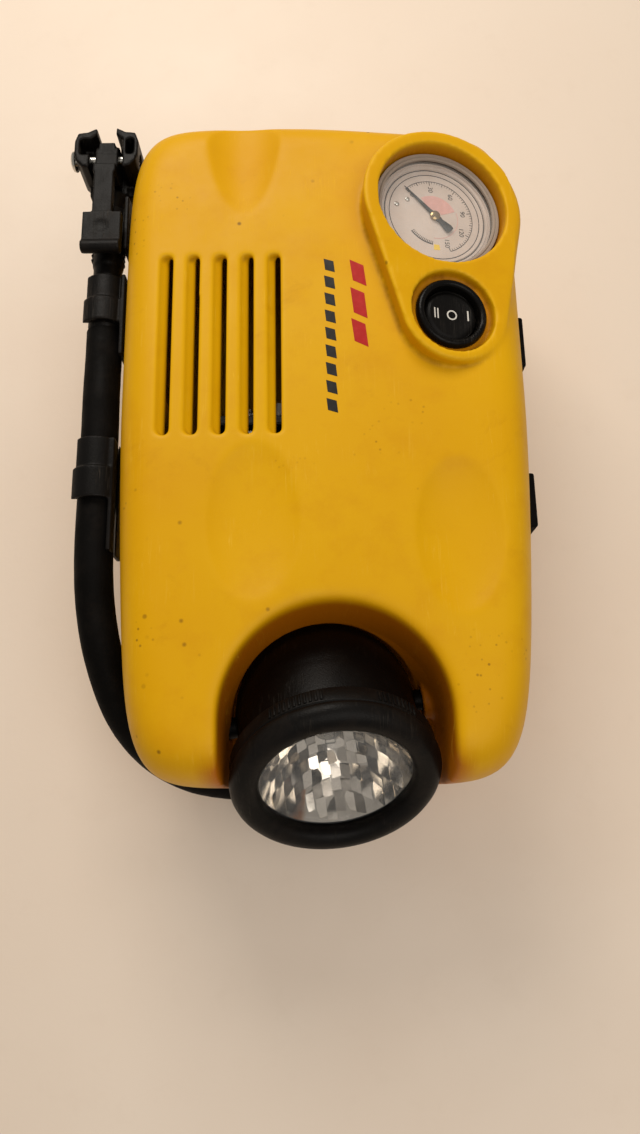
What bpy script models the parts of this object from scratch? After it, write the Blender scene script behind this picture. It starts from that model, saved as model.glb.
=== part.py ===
"""Portable tire inflator: clamshell air compressor with a tilting work lamp, gauge, hose and lever chuck.

It lies on its back on four rubber feet. +X is its right side, +Y its rear, -Y the lamp end, +Z up.
Everything is modelled in millimetres about the middle of the casing; finish_model() turns it into metres.
"""

import math

import bmesh
import bpy
from mathutils import Matrix, Vector

MM = 0.001

# Casing
BODY_HALF_W = 66.4
BODY_HALF_L = 111.5
BODY_HALF_H = 42.0
BODY_MID_Y = 1.5
BODY_MID_Z = 46.0
PLAN_POWER = 9.0
EDGE_POWER = 4.0
EDGE_INSET = 20.0
TAPER_FROM = 10.0
TAPER_WIDTH = 7.0
TAPER_SHIFT = 1.0
REAR_SKEW = 5.5
WALL = 2.6
SEAM_GAP = 0.3
FIT = 0.3

# Raised pod that carries the gauge and the switch
POD_TILT = math.radians(14)
POD_X = 39.5
POD_Z = 92.0
POD_CIRCLES = ((40.3, 72.8, 26.6), (41.7, 33.4, 17.4))
POD_FOOT_Z = 48.0
GAUGE_X = 0.6
GAUGE_Y = 72.6
SWITCH_X = 1.9
SWITCH_Y = 33.2
ROCKER_DEPTH = -5.8

# Lamp head, a ball with a cylindrical front, which tilts between the two front lobes
LAMP_PIVOT = Vector((-0.9, -87.3, 51.0))
LAMP_YAW = math.radians(7.5)
LAMP_TILT = math.radians(38)
LAMP_R = 29.0
BEZEL_R = 32.0
BAY_X = 1.7
BAY_HALF_W = 33.4
BAY_BACK = ((96.0, -56.3), (64.0, -60.6), (17.5, -76.0))
BAY_SEAT_R = 30.3

# Air hose and chuck along the left side
HOSE_R = 6.0
HOSE_X = -73.2
HOSE_Z = 70.0
CHUCK_X = -74.4
CHUCK_Z = 66.0
FERRULE_R = 5.7
BARREL_R = 5.3
CHUCK_PIN = Vector((CHUCK_X, 106.8, 71.5))
CLIP_WALL_X = -66.7
HOSE_END = Vector((-12.0, -108.0, 11.3))
HOSE_ROUTE = (
    (CHUCK_X, 41.3, CHUCK_Z),
    (-74.2, 32.0, 66.5),
    (-73.7, 17.0, 68.7),
    (HOSE_X, 3.0, HOSE_Z),
    (HOSE_X, -12.0, HOSE_Z),
    (HOSE_X, -38.0, HOSE_Z),
    (-72.3, -56.0, 67.4),
    (-69.8, -72.0, 61.8),
    (-65.4, -87.0, 51.6),
    (-58.0, -98.0, 39.6),
    (-47.6, -104.8, 27.6),
    (-36.0, -107.6, 18.0),
    (-25.0, -108.0, 12.4),
    (-18.0, -108.0, 11.3),
    tuple(HOSE_END),
)

# Screws that hold the two casing halves together, and the rubber feet
SCREW_PLACES = ((-50, 92), (50, 96), (-54, 8), (55, 2), (-43, -80), (51, -86))
FOOT_PLACES = ((-38, 80), (38, 80), (-36, -64), (36, -64))
PAD_PLACES = ((66.7, 38.4), (66.2, -19.4))

# Gear train and pump
MOTOR = Vector((-25.0, -16.0, 34.0))
MOTOR_R = 18.0
MOTOR_HALF_L = 28.0
PINION_TEETH = 12
GEAR_TEETH = 48
GEAR_X = MOTOR.x + (PINION_TEETH + GEAR_TEETH) / 2
CRANK_R = 6.0
ROD_L = 32.0
GEAR_Y = 21.0
CYL_Y = 38.0

COLOURS = {
    "yellow_shell": ((0.86, 0.47, 0.012), 0.38, 0.0),
    "black_plastic": ((0.016, 0.016, 0.017), 0.38, 0.0),
    "black_rubber": ((0.018, 0.018, 0.018), 0.75, 0.0),
    "bright_metal": ((0.72, 0.72, 0.70), 0.22, 1.0),
    "motor_steel": ((0.48, 0.48, 0.47), 0.4, 1.0),
    "cast_alloy": ((0.55, 0.56, 0.57), 0.5, 1.0),
    "gear_plastic": ((0.72, 0.70, 0.64), 0.5, 0.0),
    "dial_face": ((0.78, 0.76, 0.72), 0.5, 0.0),
    "needle_black": ((0.05, 0.05, 0.05), 0.4, 0.0),
    "clear_glass": ((0.92, 0.94, 0.94), 0.05, 0.0),
    "reflector": ((0.90, 0.90, 0.88), 0.08, 1.0),
}


def clear_scene():
    for thing in list(bpy.data.objects):
        bpy.data.objects.remove(thing, do_unlink=True)


def make_material(name):
    colour, rough, metal = COLOURS[name]
    mat = bpy.data.materials.new(name)
    mat.use_nodes = True
    shader = mat.node_tree.nodes["Principled BSDF"]
    shader.inputs["Base Color"].default_value = (*colour, 1)
    shader.inputs["Roughness"].default_value = rough
    shader.inputs["Metallic"].default_value = metal
    mat.diffuse_color = (*colour, 1)
    return mat


def add(name, mesh, finish, matrix=None):
    """A new object in millimetres; a finish of None makes it a cutter."""
    thing = bpy.data.objects.new(name, mesh)
    thing.matrix_world = matrix or Matrix()
    if finish is None:
        CUTTERS.objects.link(thing)
        thing.hide_render = True
        thing.display_type = "WIRE"
    else:
        PARTS.objects.link(thing)
        mesh.materials.clear()
        mesh.materials.append(MATERIALS[finish])
    return thing


def mesh_of(builder, smooth=True):
    bm = bmesh.new()
    builder(bm)
    bmesh.ops.recalc_face_normals(bm, faces=bm.faces)
    mesh = bpy.data.meshes.new("mesh")
    bm.to_mesh(mesh)
    bm.free()
    if smooth:
        mesh.shade_smooth()
        mesh.set_sharp_from_angle(angle=math.radians(35))
    return mesh


def boolean(thing, other, operation="DIFFERENCE"):
    mod = thing.modifiers.new(other.name, "BOOLEAN")
    mod.operation = operation
    mod.object = other
    mod.solver = "EXACT"
    return thing


def join(thing, *others):
    for other in others:
        boolean(thing, other, "UNION")
    return thing


def cut(thing, *others):
    for other in others:
        boolean(thing, other)
    return thing


def block(name, low, high, finish, bevel=0.0, matrix=None):
    """A box between two corners, with its edges rounded by bevel."""
    low, high = Vector(low), Vector(high)

    def build(bm):
        bmesh.ops.create_cube(bm, size=1)
        bmesh.ops.scale(bm, vec=high - low, verts=bm.verts)
        bmesh.ops.translate(bm, vec=(low + high) / 2, verts=bm.verts)

    thing = add(name, mesh_of(build), finish, matrix)
    if bevel:
        mod = thing.modifiers.new("round", "BEVEL")
        mod.width = bevel
        mod.segments = 2
    return thing


def turned(name, profile, finish, matrix=None, steps=32):
    """A solid turned about Z: profile is (radius, height) from its outer top down and back, closed."""

    def build(bm):
        on_axis = profile[0][0] == 0 and profile[-1][0] == 0
        points = [bm.verts.new((r, 0, h)) for r, h in profile]
        for a, b in zip(points, points[1:]):
            bm.edges.new((a, b))
        if not on_axis:
            bm.edges.new((points[-1], points[0]))
        bmesh.ops.spin(bm, geom=bm.verts[:] + bm.edges[:], axis=(0, 0, 1), cent=(0, 0, 0),
                       angle=2 * math.pi, steps=steps, use_merge=True)
        bmesh.ops.remove_doubles(bm, verts=bm.verts, dist=0.0001)

    return add(name, mesh_of(build), finish, matrix)


def rod(name, start, end, radius, finish, steps=24):
    """A plain cylinder between two points."""
    start, end = Vector(start), Vector(end)
    way = end - start
    turn = way.to_track_quat("Z", "Y").to_matrix().to_4x4()
    profile = [(0, way.length), (radius, way.length), (radius, 0), (0, 0)]
    return turned(name, profile, finish, Matrix.Translation(start) @ turn, steps)


def along(direction, place):
    """The matrix that stands a turned solid on place with its axis along direction."""
    turn = Vector(direction).to_track_quat("Z", "Y").to_matrix().to_4x4()
    return Matrix.Translation(Vector(place)) @ turn


def outline(name, points, low, high, finish, matrix=None):
    """A flat outline, extruded from height low to height high."""

    def build(bm):
        bottom = [bm.verts.new((x, y, low)) for x, y in points]
        face = bm.faces.new(bottom)
        made = bmesh.ops.extrude_face_region(bm, geom=[face])
        top = [v for v in made["geom"] if isinstance(v, bmesh.types.BMVert)]
        bmesh.ops.translate(bm, vec=(0, 0, high - low), verts=top)

    return add(name, mesh_of(build), finish, matrix)


def smooth_route(points, per_span):
    """Points on a Catmull-Rom curve through the given points."""
    pts = [Vector(p) for p in points]
    pts = [2 * pts[0] - pts[1], *pts, 2 * pts[-1] - pts[-2]]
    out = []
    for p0, p1, p2, p3 in zip(pts, pts[1:], pts[2:], pts[3:]):
        for k in range(per_span):
            t = k / per_span
            out.append(0.5 * (2 * p1 + (p2 - p0) * t + (2 * p0 - 5 * p1 + 4 * p2 - p3) * t * t
                              + (3 * p1 - p0 - 3 * p2 + p3) * t ** 3))
    out.append(pts[-2])
    return out


def tube(name, points, radius, finish, resolution=3):
    """A tube along points, made as a curve with a bevel and turned into a mesh."""
    curve = bpy.data.curves.new(name, "CURVE")
    curve.dimensions = "3D"
    curve.bevel_depth = radius
    curve.bevel_resolution = resolution
    curve.use_fill_caps = True
    spline = curve.splines.new("POLY")
    spline.points.add(len(points) - 1)
    for spot, point in zip(spline.points, points):
        spot.co = (*point, 1)
    source = bpy.data.objects.new(name, curve)
    PARTS.objects.link(source)
    mesh = bpy.data.meshes.new_from_object(source.evaluated_get(bpy.context.evaluated_depsgraph_get()))
    bpy.data.objects.remove(source)
    bm = bmesh.new()
    bm.from_mesh(mesh)
    bmesh.ops.remove_doubles(bm, verts=bm.verts, dist=0.0001)
    bmesh.ops.recalc_face_normals(bm, faces=bm.faces)
    bm.to_mesh(mesh)
    bm.free()
    mesh.shade_smooth()
    return add(name, mesh, finish)


def signed_power(value, power):
    return math.copysign(abs(value) ** power, value)


def smooth(value):
    value = min(max(value, 0.0), 1.0)
    return value * value * (3 - 2 * value)


def plan_ring(inset, around):
    """The casing's outline from above: a squarish superellipse, narrower in front, its rear edge askew."""
    ring = []
    for k in range(around):
        turn = 2 * math.pi * (k + 0.5) / around
        reach = (abs(math.cos(turn)) ** PLAN_POWER + abs(math.sin(turn)) ** PLAN_POWER) ** (-1 / PLAN_POWER)
        y = BODY_MID_Y + (BODY_HALF_L - inset) * reach * math.sin(turn)
        front = max(0.0, (TAPER_FROM - y) / (TAPER_FROM + BODY_HALF_L)) ** 1.6
        x = (BODY_HALF_W - TAPER_WIDTH * front - inset) * reach * math.cos(turn) - TAPER_SHIFT * front
        if y > 0:
            y -= REAR_SKEW * smooth((x + 15) / 75) * (y / BODY_HALF_L) ** 4
        ring.append((x, y))
    return ring


def casing_form(name, shrink, finish, around=56, levels=10):
    """The casing's outer form, or with shrink the hollow inside it: outline rings stacked in Z."""
    half_h = BODY_HALF_H - shrink

    def build(bm):
        rings = []
        for level in range(levels + 1):
            lift = -math.pi / 2 + math.pi * level / levels
            z = BODY_MID_Z + half_h * signed_power(math.sin(lift), 2 / EDGE_POWER)
            inset = shrink + EDGE_INSET * (1 - abs(math.cos(lift)) ** (2 / EDGE_POWER))
            rings.append([bm.verts.new((x, y, z)) for x, y in plan_ring(inset, around)])
        for low, high in zip(rings, rings[1:]):
            for k in range(around):
                after = (k + 1) % around
                bm.faces.new((low[k], low[after], high[after], high[k]))
        bm.faces.new(rings[0])
        bm.faces.new(rings[-1])

    return add(name, mesh_of(build), finish)


def hull(name, points, finish):
    def build(bm):
        for point in points:
            bm.verts.new(point)
        made = bmesh.ops.convex_hull(bm, input=bm.verts)
        loose = {v for v in made["geom_interior"] + made["geom_unused"] if isinstance(v, bmesh.types.BMVert)}
        bmesh.ops.delete(bm, geom=list(loose), context="VERTS")

    return add(name, mesh_of(build), finish)


def pod_plane(x):
    """The height of the pod's sloping face above x."""
    return POD_Z - (x - POD_X) * math.tan(POD_TILT)


def pod_form(name, shrink, finish, around=28):
    """The pear-shaped pod: two circles on a sloping face, carried straight down into the casing."""
    points = []
    for cx, cy, radius in POD_CIRCLES:
        for k in range(around):
            turn = 2 * math.pi * k / around
            for inward, drop in ((0.9, 0.0), (0.0, 1.0)):
                r = radius - shrink - inward
                x, y = cx + r * math.cos(turn), cy + r * math.sin(turn)
                points.append((x, y, pod_plane(x) - shrink - drop))
            points.append((cx + (radius - shrink) * math.cos(turn), cy + (radius - shrink) * math.sin(turn),
                           POD_FOOT_Z + 3 * shrink))
    return hull(name, points, finish)


def bay_form(name, grow):
    """The lamp bay: a round-backed notch, open to the front and top, with a seat for the lamp's ball."""
    points = []
    radius = BAY_HALF_W + grow
    for z, back_y in BAY_BACK:
        z = z if z > BODY_MID_Z else z - grow
        for k in range(17):
            turn = math.pi * k / 16
            points.append((BAY_X + radius * math.cos(turn), back_y - BAY_HALF_W + radius * math.sin(turn), z))
        points.append((BAY_X - radius, -140, z))
        points.append((BAY_X + radius, -140, z))
    seat = ellipsoid(name + "_seat", LAMP_PIVOT, (BAY_SEAT_R + grow,) * 3)
    return hull(name, points, None), seat


def ellipsoid(name, centre, half, finish=None):
    def build(bm):
        bmesh.ops.create_uvsphere(bm, u_segments=20, v_segments=14, radius=1)
        bmesh.ops.scale(bm, vec=Vector(half), verts=bm.verts)
        bmesh.ops.translate(bm, vec=Vector(centre), verts=bm.verts)

    return add(name, mesh_of(build), finish)


def thumb_form(name, grow):
    """The tapering thumb groove in the rear edge."""
    top = BODY_MID_Z + BODY_HALF_H
    return ellipsoid(name, (-25, 122, top + 12), (19 + grow, 60 + grow, 17.5 + grow))


def dimple_forms(prefix, grow):
    top = BODY_MID_Z + BODY_HALF_H
    left = ellipsoid(prefix + "_left", (-21.5, -33, top + 6), (19 + grow, 35 + grow, 8 + grow))
    right = ellipsoid(prefix + "_right", (40, -38, top + 6), (18 + grow, 32 + grow, 8.6 + grow))
    return left, right


def elbow_pocket(name, grow):
    """The room for the hose outlet in the lower front edge."""
    return block(name, (-15.5 - grow, -140, -10), (6.5 + grow, -97.5 + grow, 19.5 + grow), None)


def pod_rod(name, x, y, bottom, radius):
    """A cutter square to the pod's top, from above it down to the given depth."""
    return rod(name, on_pod(x, y, 10), on_pod(x, y, bottom), radius, None, 40)


def casing(name, upper):
    """One half of the casing, hollow, with its screw posts and openings."""
    tag = "upper_" if upper else "lower_"
    shell = casing_form(name, 0, "yellow_shell")
    hollow = casing_form(tag + "hollow", WALL, None)
    if upper:
        join(shell, pod_form("pod_outside", 0, None))
        join(hollow, pod_form("pod_inside", WALL, None))
        cut(hollow, thumb_form("thumb_grown", WALL), *dimple_forms("dimple_grown", WALL))
        cut(hollow, pod_rod("gauge_collar", GAUGE_X, GAUGE_Y, -7.8, 24.2),
            pod_rod("switch_collar", SWITCH_X, SWITCH_Y, -5.8, 15.8))
    cut(hollow, *bay_form(tag + "bay_grown", WALL),
        tube(tag + "channel_grown", HOSE_PATH, HOSE_R + 1.2 + WALL, None, 2))
    if not upper:
        cut(hollow, elbow_pocket("pocket_grown", WALL))
    for number, (x, y) in enumerate(SCREW_PLACES, 1):
        cut(hollow, rod(f"{tag}post_{number}", (x, y, -5), (x, y, 100), 4.4, None, 12))
    cut(shell, hollow, *bay_form(tag + "bay", 0), tube(tag + "channel", HOSE_PATH, HOSE_R + 1.2, None, 2))
    if upper:
        join(shell, rod("pivot_boss", hinge(30.9), hinge(38.6), 6.4, None, 24))
        cut(shell, thumb_form("thumb", 0), *dimple_forms("dimple", 0))
        cut(shell, *slots(), pod_rod("gauge_bore", GAUGE_X, GAUGE_Y, -16, 22.0))
        cut(shell, pod_rod("switch_recess", SWITCH_X, SWITCH_Y, -3.4, 13.9),
            pod_rod("switch_bore", SWITCH_X, SWITCH_Y, -12, 10.5))
        for side, start, end in (("left", -26, -48), ("right", 28, 60)):
            cut(shell, rod(f"pivot_bore_{side}", hinge(start), hinge(end), 3.7, None, 20))
    else:
        cut(shell, elbow_pocket("pocket", 0),
            rod("outlet_bore", (-4, -120, 11.3), (-4, -84, 11.3), 5.4, None, 20))
        cut(shell, rod("gland_bore", (20, 100, 22), (20, 125, 22), 4.6, None, 20))
    for number, (x, y) in enumerate(SCREW_PLACES, 1):
        if upper:
            cut(shell, rod(f"upper_pilot_{number}", (x, y, 40), (x, y, 60.5), 1.9, None, 12))
        else:
            cut(shell, rod(f"lower_bore_{number}", (x, y, 20), (x, y, 50), 1.9, None, 12))
            cut(shell, rod(f"lower_well_{number}", (x, y, -5), (x, y, 30), 3.5, None, 16))
    away = -1 if upper else 1
    edge = BODY_MID_Z + (SEAM_GAP / 2 if upper else -SEAM_GAP / 2)
    low, high = sorted((edge, edge + away * 120))
    cut(shell, block(tag + "other_half", (-120, -160, low), (120, 160, high), None))
    return shell


def slots():
    """Five cooling slots, whose left walls lean inward like louvres."""
    top = BODY_MID_Z + BODY_HALF_H + 1
    made = []
    for number in range(5):
        left = -51.1 + 8.64 * number
        profile = ((left - 0.8, top), (left + 3.5, top), (left + 3.5, top - 7), (left + 2.2, top - 7),
                   (left + 2.2, top - 3.8))

        def build(bm):
            face = bm.faces.new([bm.verts.new((x, -5.4, z)) for x, z in profile])
            made_geom = bmesh.ops.extrude_face_region(bm, geom=[face])
            far = [v for v in made_geom["geom"] if isinstance(v, bmesh.types.BMVert)]
            bmesh.ops.translate(bm, vec=(0, 62.2, 0), verts=far)

        made.append(add(f"slot_{number + 1}", mesh_of(build), None))
    return made


def pod_matrix(x, y, h=0.0):
    frame = Matrix.Translation((POD_X, 0, POD_Z)) @ Matrix.Rotation(POD_TILT, 4, "Y")
    return frame @ Matrix.Translation((x, y, h))


def on_pod(x, y, h):
    return pod_matrix(x, y, h) @ Vector((0, 0, 0))


def hinge_axis():
    return Vector((math.cos(LAMP_YAW), math.sin(LAMP_YAW), 0))


def hinge(distance):
    """A point on the lamp's tilting axis."""
    return LAMP_PIVOT + hinge_axis() * distance


def lamp_matrix():
    """Stands a turned piece in the lamp head: its axis is the beam, and its origin is the pivot."""
    forward = Vector((math.sin(LAMP_YAW) * math.cos(LAMP_TILT), -math.cos(LAMP_YAW) * math.cos(LAMP_TILT),
                      math.sin(LAMP_TILT)))
    side = hinge_axis()
    turn = Matrix((side, forward.cross(side), forward)).transposed().to_4x4()
    return Matrix.Translation(LAMP_PIVOT) @ turn


def arc(radius, start, end, steps):
    """Points (r, h) on a circle about the origin, between two angles in degrees from the axis."""
    angles = [math.radians(start + (end - start) * k / steps) for k in range(steps + 1)]
    return [(radius * math.sin(a), radius * math.cos(a)) for a in angles]


def make_lamp():
    place = lamp_matrix()
    outside = [(28.4, 18.4), *arc(LAMP_R, 82, 180, 8)]
    inside = [*arc(LAMP_R - 2.2, 180, 82, 6), (26.2, 18.4)]
    outside[-1] = (0, -LAMP_R)
    inside[0] = (0, -LAMP_R + 2.2)
    ball = turned("lamp_housing", [*inside, *outside], "black_plastic", place, 32)
    for side, start, end in (("left", -40, -24.5), ("right", 24.5, 40)):
        cut(ball, rod(f"lamp_bore_{side}", hinge(start), hinge(end), 3.7, None, 20))
    bezel = [(23.3, 28.0), (25.4, 30.0), (28.6, 30.4), (31.2, 28.8), (BEZEL_R, 26.0), (BEZEL_R, 18.8), (24.9, 18.8),
             (24.9, 25.5), (23.3, 25.5)]
    turned("lamp_bezel", bezel, "black_plastic", place, 36)
    turned("lamp_lens", [(0, 25.2), (24.6, 25.2), (24.6, 23.9), (0, 23.9)], "clear_glass", place, 40)
    bowl = [(5.2 + 19.1 * math.sqrt(k / 5), 3.6 + 20 * k / 5) for k in range(6)]
    back = [(r + 0.1, h - 1.1) for r, h in bowl]
    back[-1] = (24.3, 22.4)
    turned("lamp_reflector", [*bowl[::-1], *back], "reflector", place, 28)
    bulb = [(0, 15.5), (1.9, 15.0), (3.0, 13.4), (3.1, 11.2), (2.2, 9.2), (2.2, 7.0), (4.6, 7.0), (4.6, -6.0),
            (0, -6.0)]
    turned("lamp_bulb", bulb, "clear_glass", place, 16)
    for side, inner, tail in (("left", -25.2, -39.0), ("right", 25.2, 44.5)):
        way = hinge(tail) - hinge(inner)
        span = way.length
        profile = [(0, span), (5.4, span), (5.4, span - 1.6), (3.4, span - 1.6), (3.4, 0), (0, 0)]
        turned(f"lamp_pivot_{side}", profile, "black_plastic", along(way, hinge(inner)), 20)


def make_gauge():
    place = pod_matrix(GAUGE_X, GAUGE_Y)
    case = [(0, -23.5), (19.8, -23.5), (19.8, -7.2), (21.6, -7.2), (21.6, -25.5), (0, -25.5)]
    turned("gauge_case", case, "black_plastic", place, 40)
    turned("gauge_ring", [(19.4, -5.0), (21.6, -5.0), (21.6, -5.9), (19.4, -5.9)], "bright_metal", place, 40)
    turned("gauge_lens", [(0, -6.2), (21.4, -6.2), (21.4, -6.9), (0, -6.9)], "clear_glass", place, 40)
    turned("gauge_dial", [(0, -8.4), (19.5, -8.4), (19.5, -9.4), (0, -9.4)], "dial_face", place, 40)
    point = math.atan2(32, -34)
    needle_turn = place @ Matrix.Rotation(point, 4, "Z")
    shape = [(14.5, 0.0), (2.2, 0.9), (1.4, 2.2), (-0.4, 2.6), (-2.0, 1.7), (-6.5, 1.3), (-7.4, 0.0)]
    shape += [(x, -y) for x, y in shape[-2:0:-1]]
    outline("gauge_needle", shape, -8.0, -7.5, "needle_black", needle_turn)


def make_switch():
    place = pod_matrix(SWITCH_X, SWITCH_Y)
    frame = [(0, -16.6), (9.2, -16.6), (9.2, -1.5), (10.4, -0.9), (11.6, -1.6), (11.8, -3.0), (10.2, -3.0),
             (10.2, -18.2), (0, -18.2)]
    turned("switch_frame", frame, "black_plastic", place, 32)
    ball = arc(8.9, 66, 120, 6)
    profile = [(0, 2.6), (5.0, 2.9), (7.6, 3.7), *ball, (0, ball[-1][1])]
    turned("switch_rocker", profile, "black_plastic", place @ Matrix.Translation((0, 0, ROCKER_DEPTH)), 32)


def make_feet():
    for number, (x, y) in enumerate(FOOT_PLACES, 1):
        profile = [(0, 3.7), (8, 3.7), (8, 1.2), (7, 0), (0, 0)]
        turned(f"foot_{number}", profile, "black_rubber", Matrix.Translation((x, y, 0)), 24)
    for number, (x, y) in enumerate(PAD_PLACES, 1):
        block(f"side_pad_{number}", (x, y - 9.4, 42), (x + 3.6, y + 9.4, 62), "black_rubber", 0.9)


def make_screws():
    for number, (x, y) in enumerate(SCREW_PLACES, 1):
        profile = [(0, 58), (1.5, 57), (1.5, 29.7), (3.1, 29.7), (3.1, 27.8), (2.2, 26.9), (0, 26.9)]
        turned(f"case_screw_{number}", profile, "bright_metal", Matrix.Translation((x, y, 0)), 12)


def gear_outline(teeth, module=1.0):
    """A plain straight-sided tooth outline."""
    outer, inner = module * (teeth / 2 + 0.8), module * (teeth / 2 - 1.15)
    points = []
    for k in range(teeth):
        for share, radius in ((-0.30, inner), (-0.13, outer), (0.13, outer), (0.30, inner)):
            turn = 2 * math.pi * (k + share) / teeth
            points.append((radius * math.cos(turn), radius * math.sin(turn)))
    return points


def make_pump():
    x, y, z = MOTOR
    front, back = y + MOTOR_HALF_L, y - MOTOR_HALF_L
    lengthwise = along((0, 1, 0), (x, 0, z))
    can = [(0, front), (MOTOR_R - 1, front), (MOTOR_R, front - 1), (MOTOR_R, back), (0, back)]
    turned("motor_can", can, "motor_steel", lengthwise, 32)
    cap = [(0, back - 0.3), (17, back - 0.3), (17, back - 4), (6, back - 4), (6, back - 6), (0, back - 6)]
    turned("motor_cap", cap, "black_plastic", lengthwise, 32)
    half_tooth = math.pi / PINION_TEETH
    stand = along((0, 1, 0), (x, GEAR_Y, z))
    pinion = outline("motor_shaft", gear_outline(PINION_TEETH), -3.5, 3.5, "bright_metal",
                     stand @ Matrix.Rotation(half_tooth, 4, "Z"))
    join(pinion, rod("shaft_stub", (x, front + 0.3, z), (x, GEAR_Y, z), 1.6, None, 12))
    gear_stand = along((0, 1, 0), (GEAR_X, GEAR_Y, z))
    gear = outline("drive_gear", gear_outline(GEAR_TEETH), -3, 3, "gear_plastic", gear_stand)
    join(gear, rod("crank_pin", (GEAR_X, GEAR_Y, z + CRANK_R), (GEAR_X, GEAR_Y + 9, z + CRANK_R), 2.4, None, 16))
    cut(gear, rod("gear_bore", (GEAR_X, GEAR_Y - 8, z), (GEAR_X, GEAR_Y + 8, z), 2.8, None, 16))
    rod("gear_axle", (GEAR_X, front + 4.6, z), (GEAR_X, GEAR_Y + 3.4, z), 2.5, "bright_metal", 16)
    plate = block("pump_frame", (-44, front + 0.3, 14), (30, front + 4.3, 54), "cast_alloy", 1.0)
    cut(plate, rod("motor_nose", (x, front - 5, z), (x, front + 8, z), 6, None, 20))
    join(plate, block("frame_arm", (31, front + 0.3, 16), (37, CYL_Y - 15.5, 52), None),
         block("frame_link", (28, front + 0.3, 16), (36, front + 4.3, 52), None))
    reach = math.sqrt(ROD_L ** 2 - CRANK_R ** 2)
    barrel = [(12.6, 54), (15, 54), (15, 49), (13.8, 49), (13.8, 45), (15, 45), (15, 40), (13.8, 40), (13.8, 23),
              (12.6, 23)]
    sideways = along((1, 0, 0), (0, CYL_Y, z))
    turned("cylinder", barrel, "cast_alloy", sideways, 24)
    head = [(0, 60), (10, 60), (15, 58.5), (15, 54.3), (0, 54.3)]
    turned("cylinder_head", head, "cast_alloy", sideways, 28)
    pin_x = GEAR_X + reach
    crown = [(0, 8), (12.2, 8), (12.2, -2), (0, -2)]
    piston = turned("piston", crown, "gear_plastic", along((1, 0, 0), (pin_x, CYL_Y, z)), 24)
    tilt = math.atan2(CRANK_R, reach)
    rod_y = GEAR_Y + 9.6
    join(piston, block("rod_bar", (-ROD_L, rod_y - CYL_Y, -2.6), (2, rod_y - CYL_Y + 3.4, 2.6), None, 0,
                       Matrix.Translation((pin_x, CYL_Y, z)) @ Matrix.Rotation(tilt, 4, "Y")),
         rod("rod_eye", (GEAR_X, rod_y, z + CRANK_R), (GEAR_X, rod_y + 3.4, z + CRANK_R), 5.2, None, 20))
    air = smooth_route(((52, CYL_Y + 17, z + 4), (50, 62, 42), (46, 72, 50), (40.5, 76, 58), (34.6, 75, 65.0)), 3)
    tube("gauge_tube", air, 1.8, "black_rubber", 1)
    feed = smooth_route(((-4, -89.7, 11.3), (-4, -78, 11.0), (2, -64, 10.6), (12, -48, 10.6), (22, -20, 11.2),
                         (34, 8, 12.4), (46, 24, 13.2)), 3)
    tube("outlet_tube", feed, 3.4, "black_rubber", 2)


def make_hose():
    tube("air_hose", HOSE_PATH, HOSE_R, "black_rubber", 2)
    elbow = rod("outlet_elbow", (HOSE_END.x + FIT, -108, 11.3), (3, -108, 11.3), 7.4, "black_plastic", 24)
    join(elbow, rod("elbow_tail", (-4, -108, 11.3), (-4, -90, 11.3), 5.0, None, 20))
    ferrule = [(0, 61.4), (FERRULE_R, 61.4), (FERRULE_R, 43), (5.2, 41.6), (0, 41.6)]
    turned("hose_ferrule", ferrule, "black_plastic", along((0, 1, 0), (CHUCK_X, 0, CHUCK_Z)), 28)
    gland = [(0, 118.0), (4.2, 118.0), (5.0, 112.6), (6.6, 112.6), (6.6, 111.0), (4.2, 111.0), (4.2, 104), (0, 104)]
    turned("cord_gland", gland, "black_rubber", along((0, 1, 0), (20, 0, 22)), 20)


def clip(name, x, z, inner, y_low, y_high, base_low, base_high, mouth_x, mouth_half):
    """A C-shaped snap clip in two steps, open away from the casing, with its foot plate."""
    length = y_high - y_low
    ring = [(inner, length), (inner + 1.4, length), (inner + 1.4, length / 2), (inner + 2.1, length / 2),
            (inner + 2.1, 0), (inner, 0)]
    body = turned(name, ring, "black_plastic", along((0, 1, 0), (x, y_low, z)), 28)
    foot = block(name + "_foot", (CLIP_WALL_X - 1.5, base_low, z - 9), (CLIP_WALL_X, base_high, z + 6), None)
    arm = block(name + "_arm", (x + inner - 1, y_low, z - 3), (CLIP_WALL_X, y_high, z + 3), None)
    wall_side = block(name + "_wall_side", (CLIP_WALL_X, y_low - 60, z - 20), (-50, y_high + 60, z + 20), None)
    mouth = block(name + "_mouth", (x - 20, y_low - 1, z - mouth_half),
                  (x + mouth_x, y_high + 1, z + mouth_half), None)
    join(body, foot, arm)
    cut(body, wall_side, mouth, rod(name + "_bore", (x, y_low - 60, z), (x, y_high + 60, z), inner, None, 28))


def make_clips():
    clip("hose_clip_front", HOSE_X, HOSE_Z, HOSE_R + FIT, -21.2, -0.7, -38, -0.7, -3.5, 4.6)
    clip("hose_clip_rear", CHUCK_X, CHUCK_Z, FERRULE_R + FIT, 43.0, 60.5, 31, 61, -3.5, 4.6)
    clip("chuck_holder", CHUCK_X, CHUCK_Z, BARREL_R + FIT, 76, 88, 71, 92, -1.0, 14)


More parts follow.
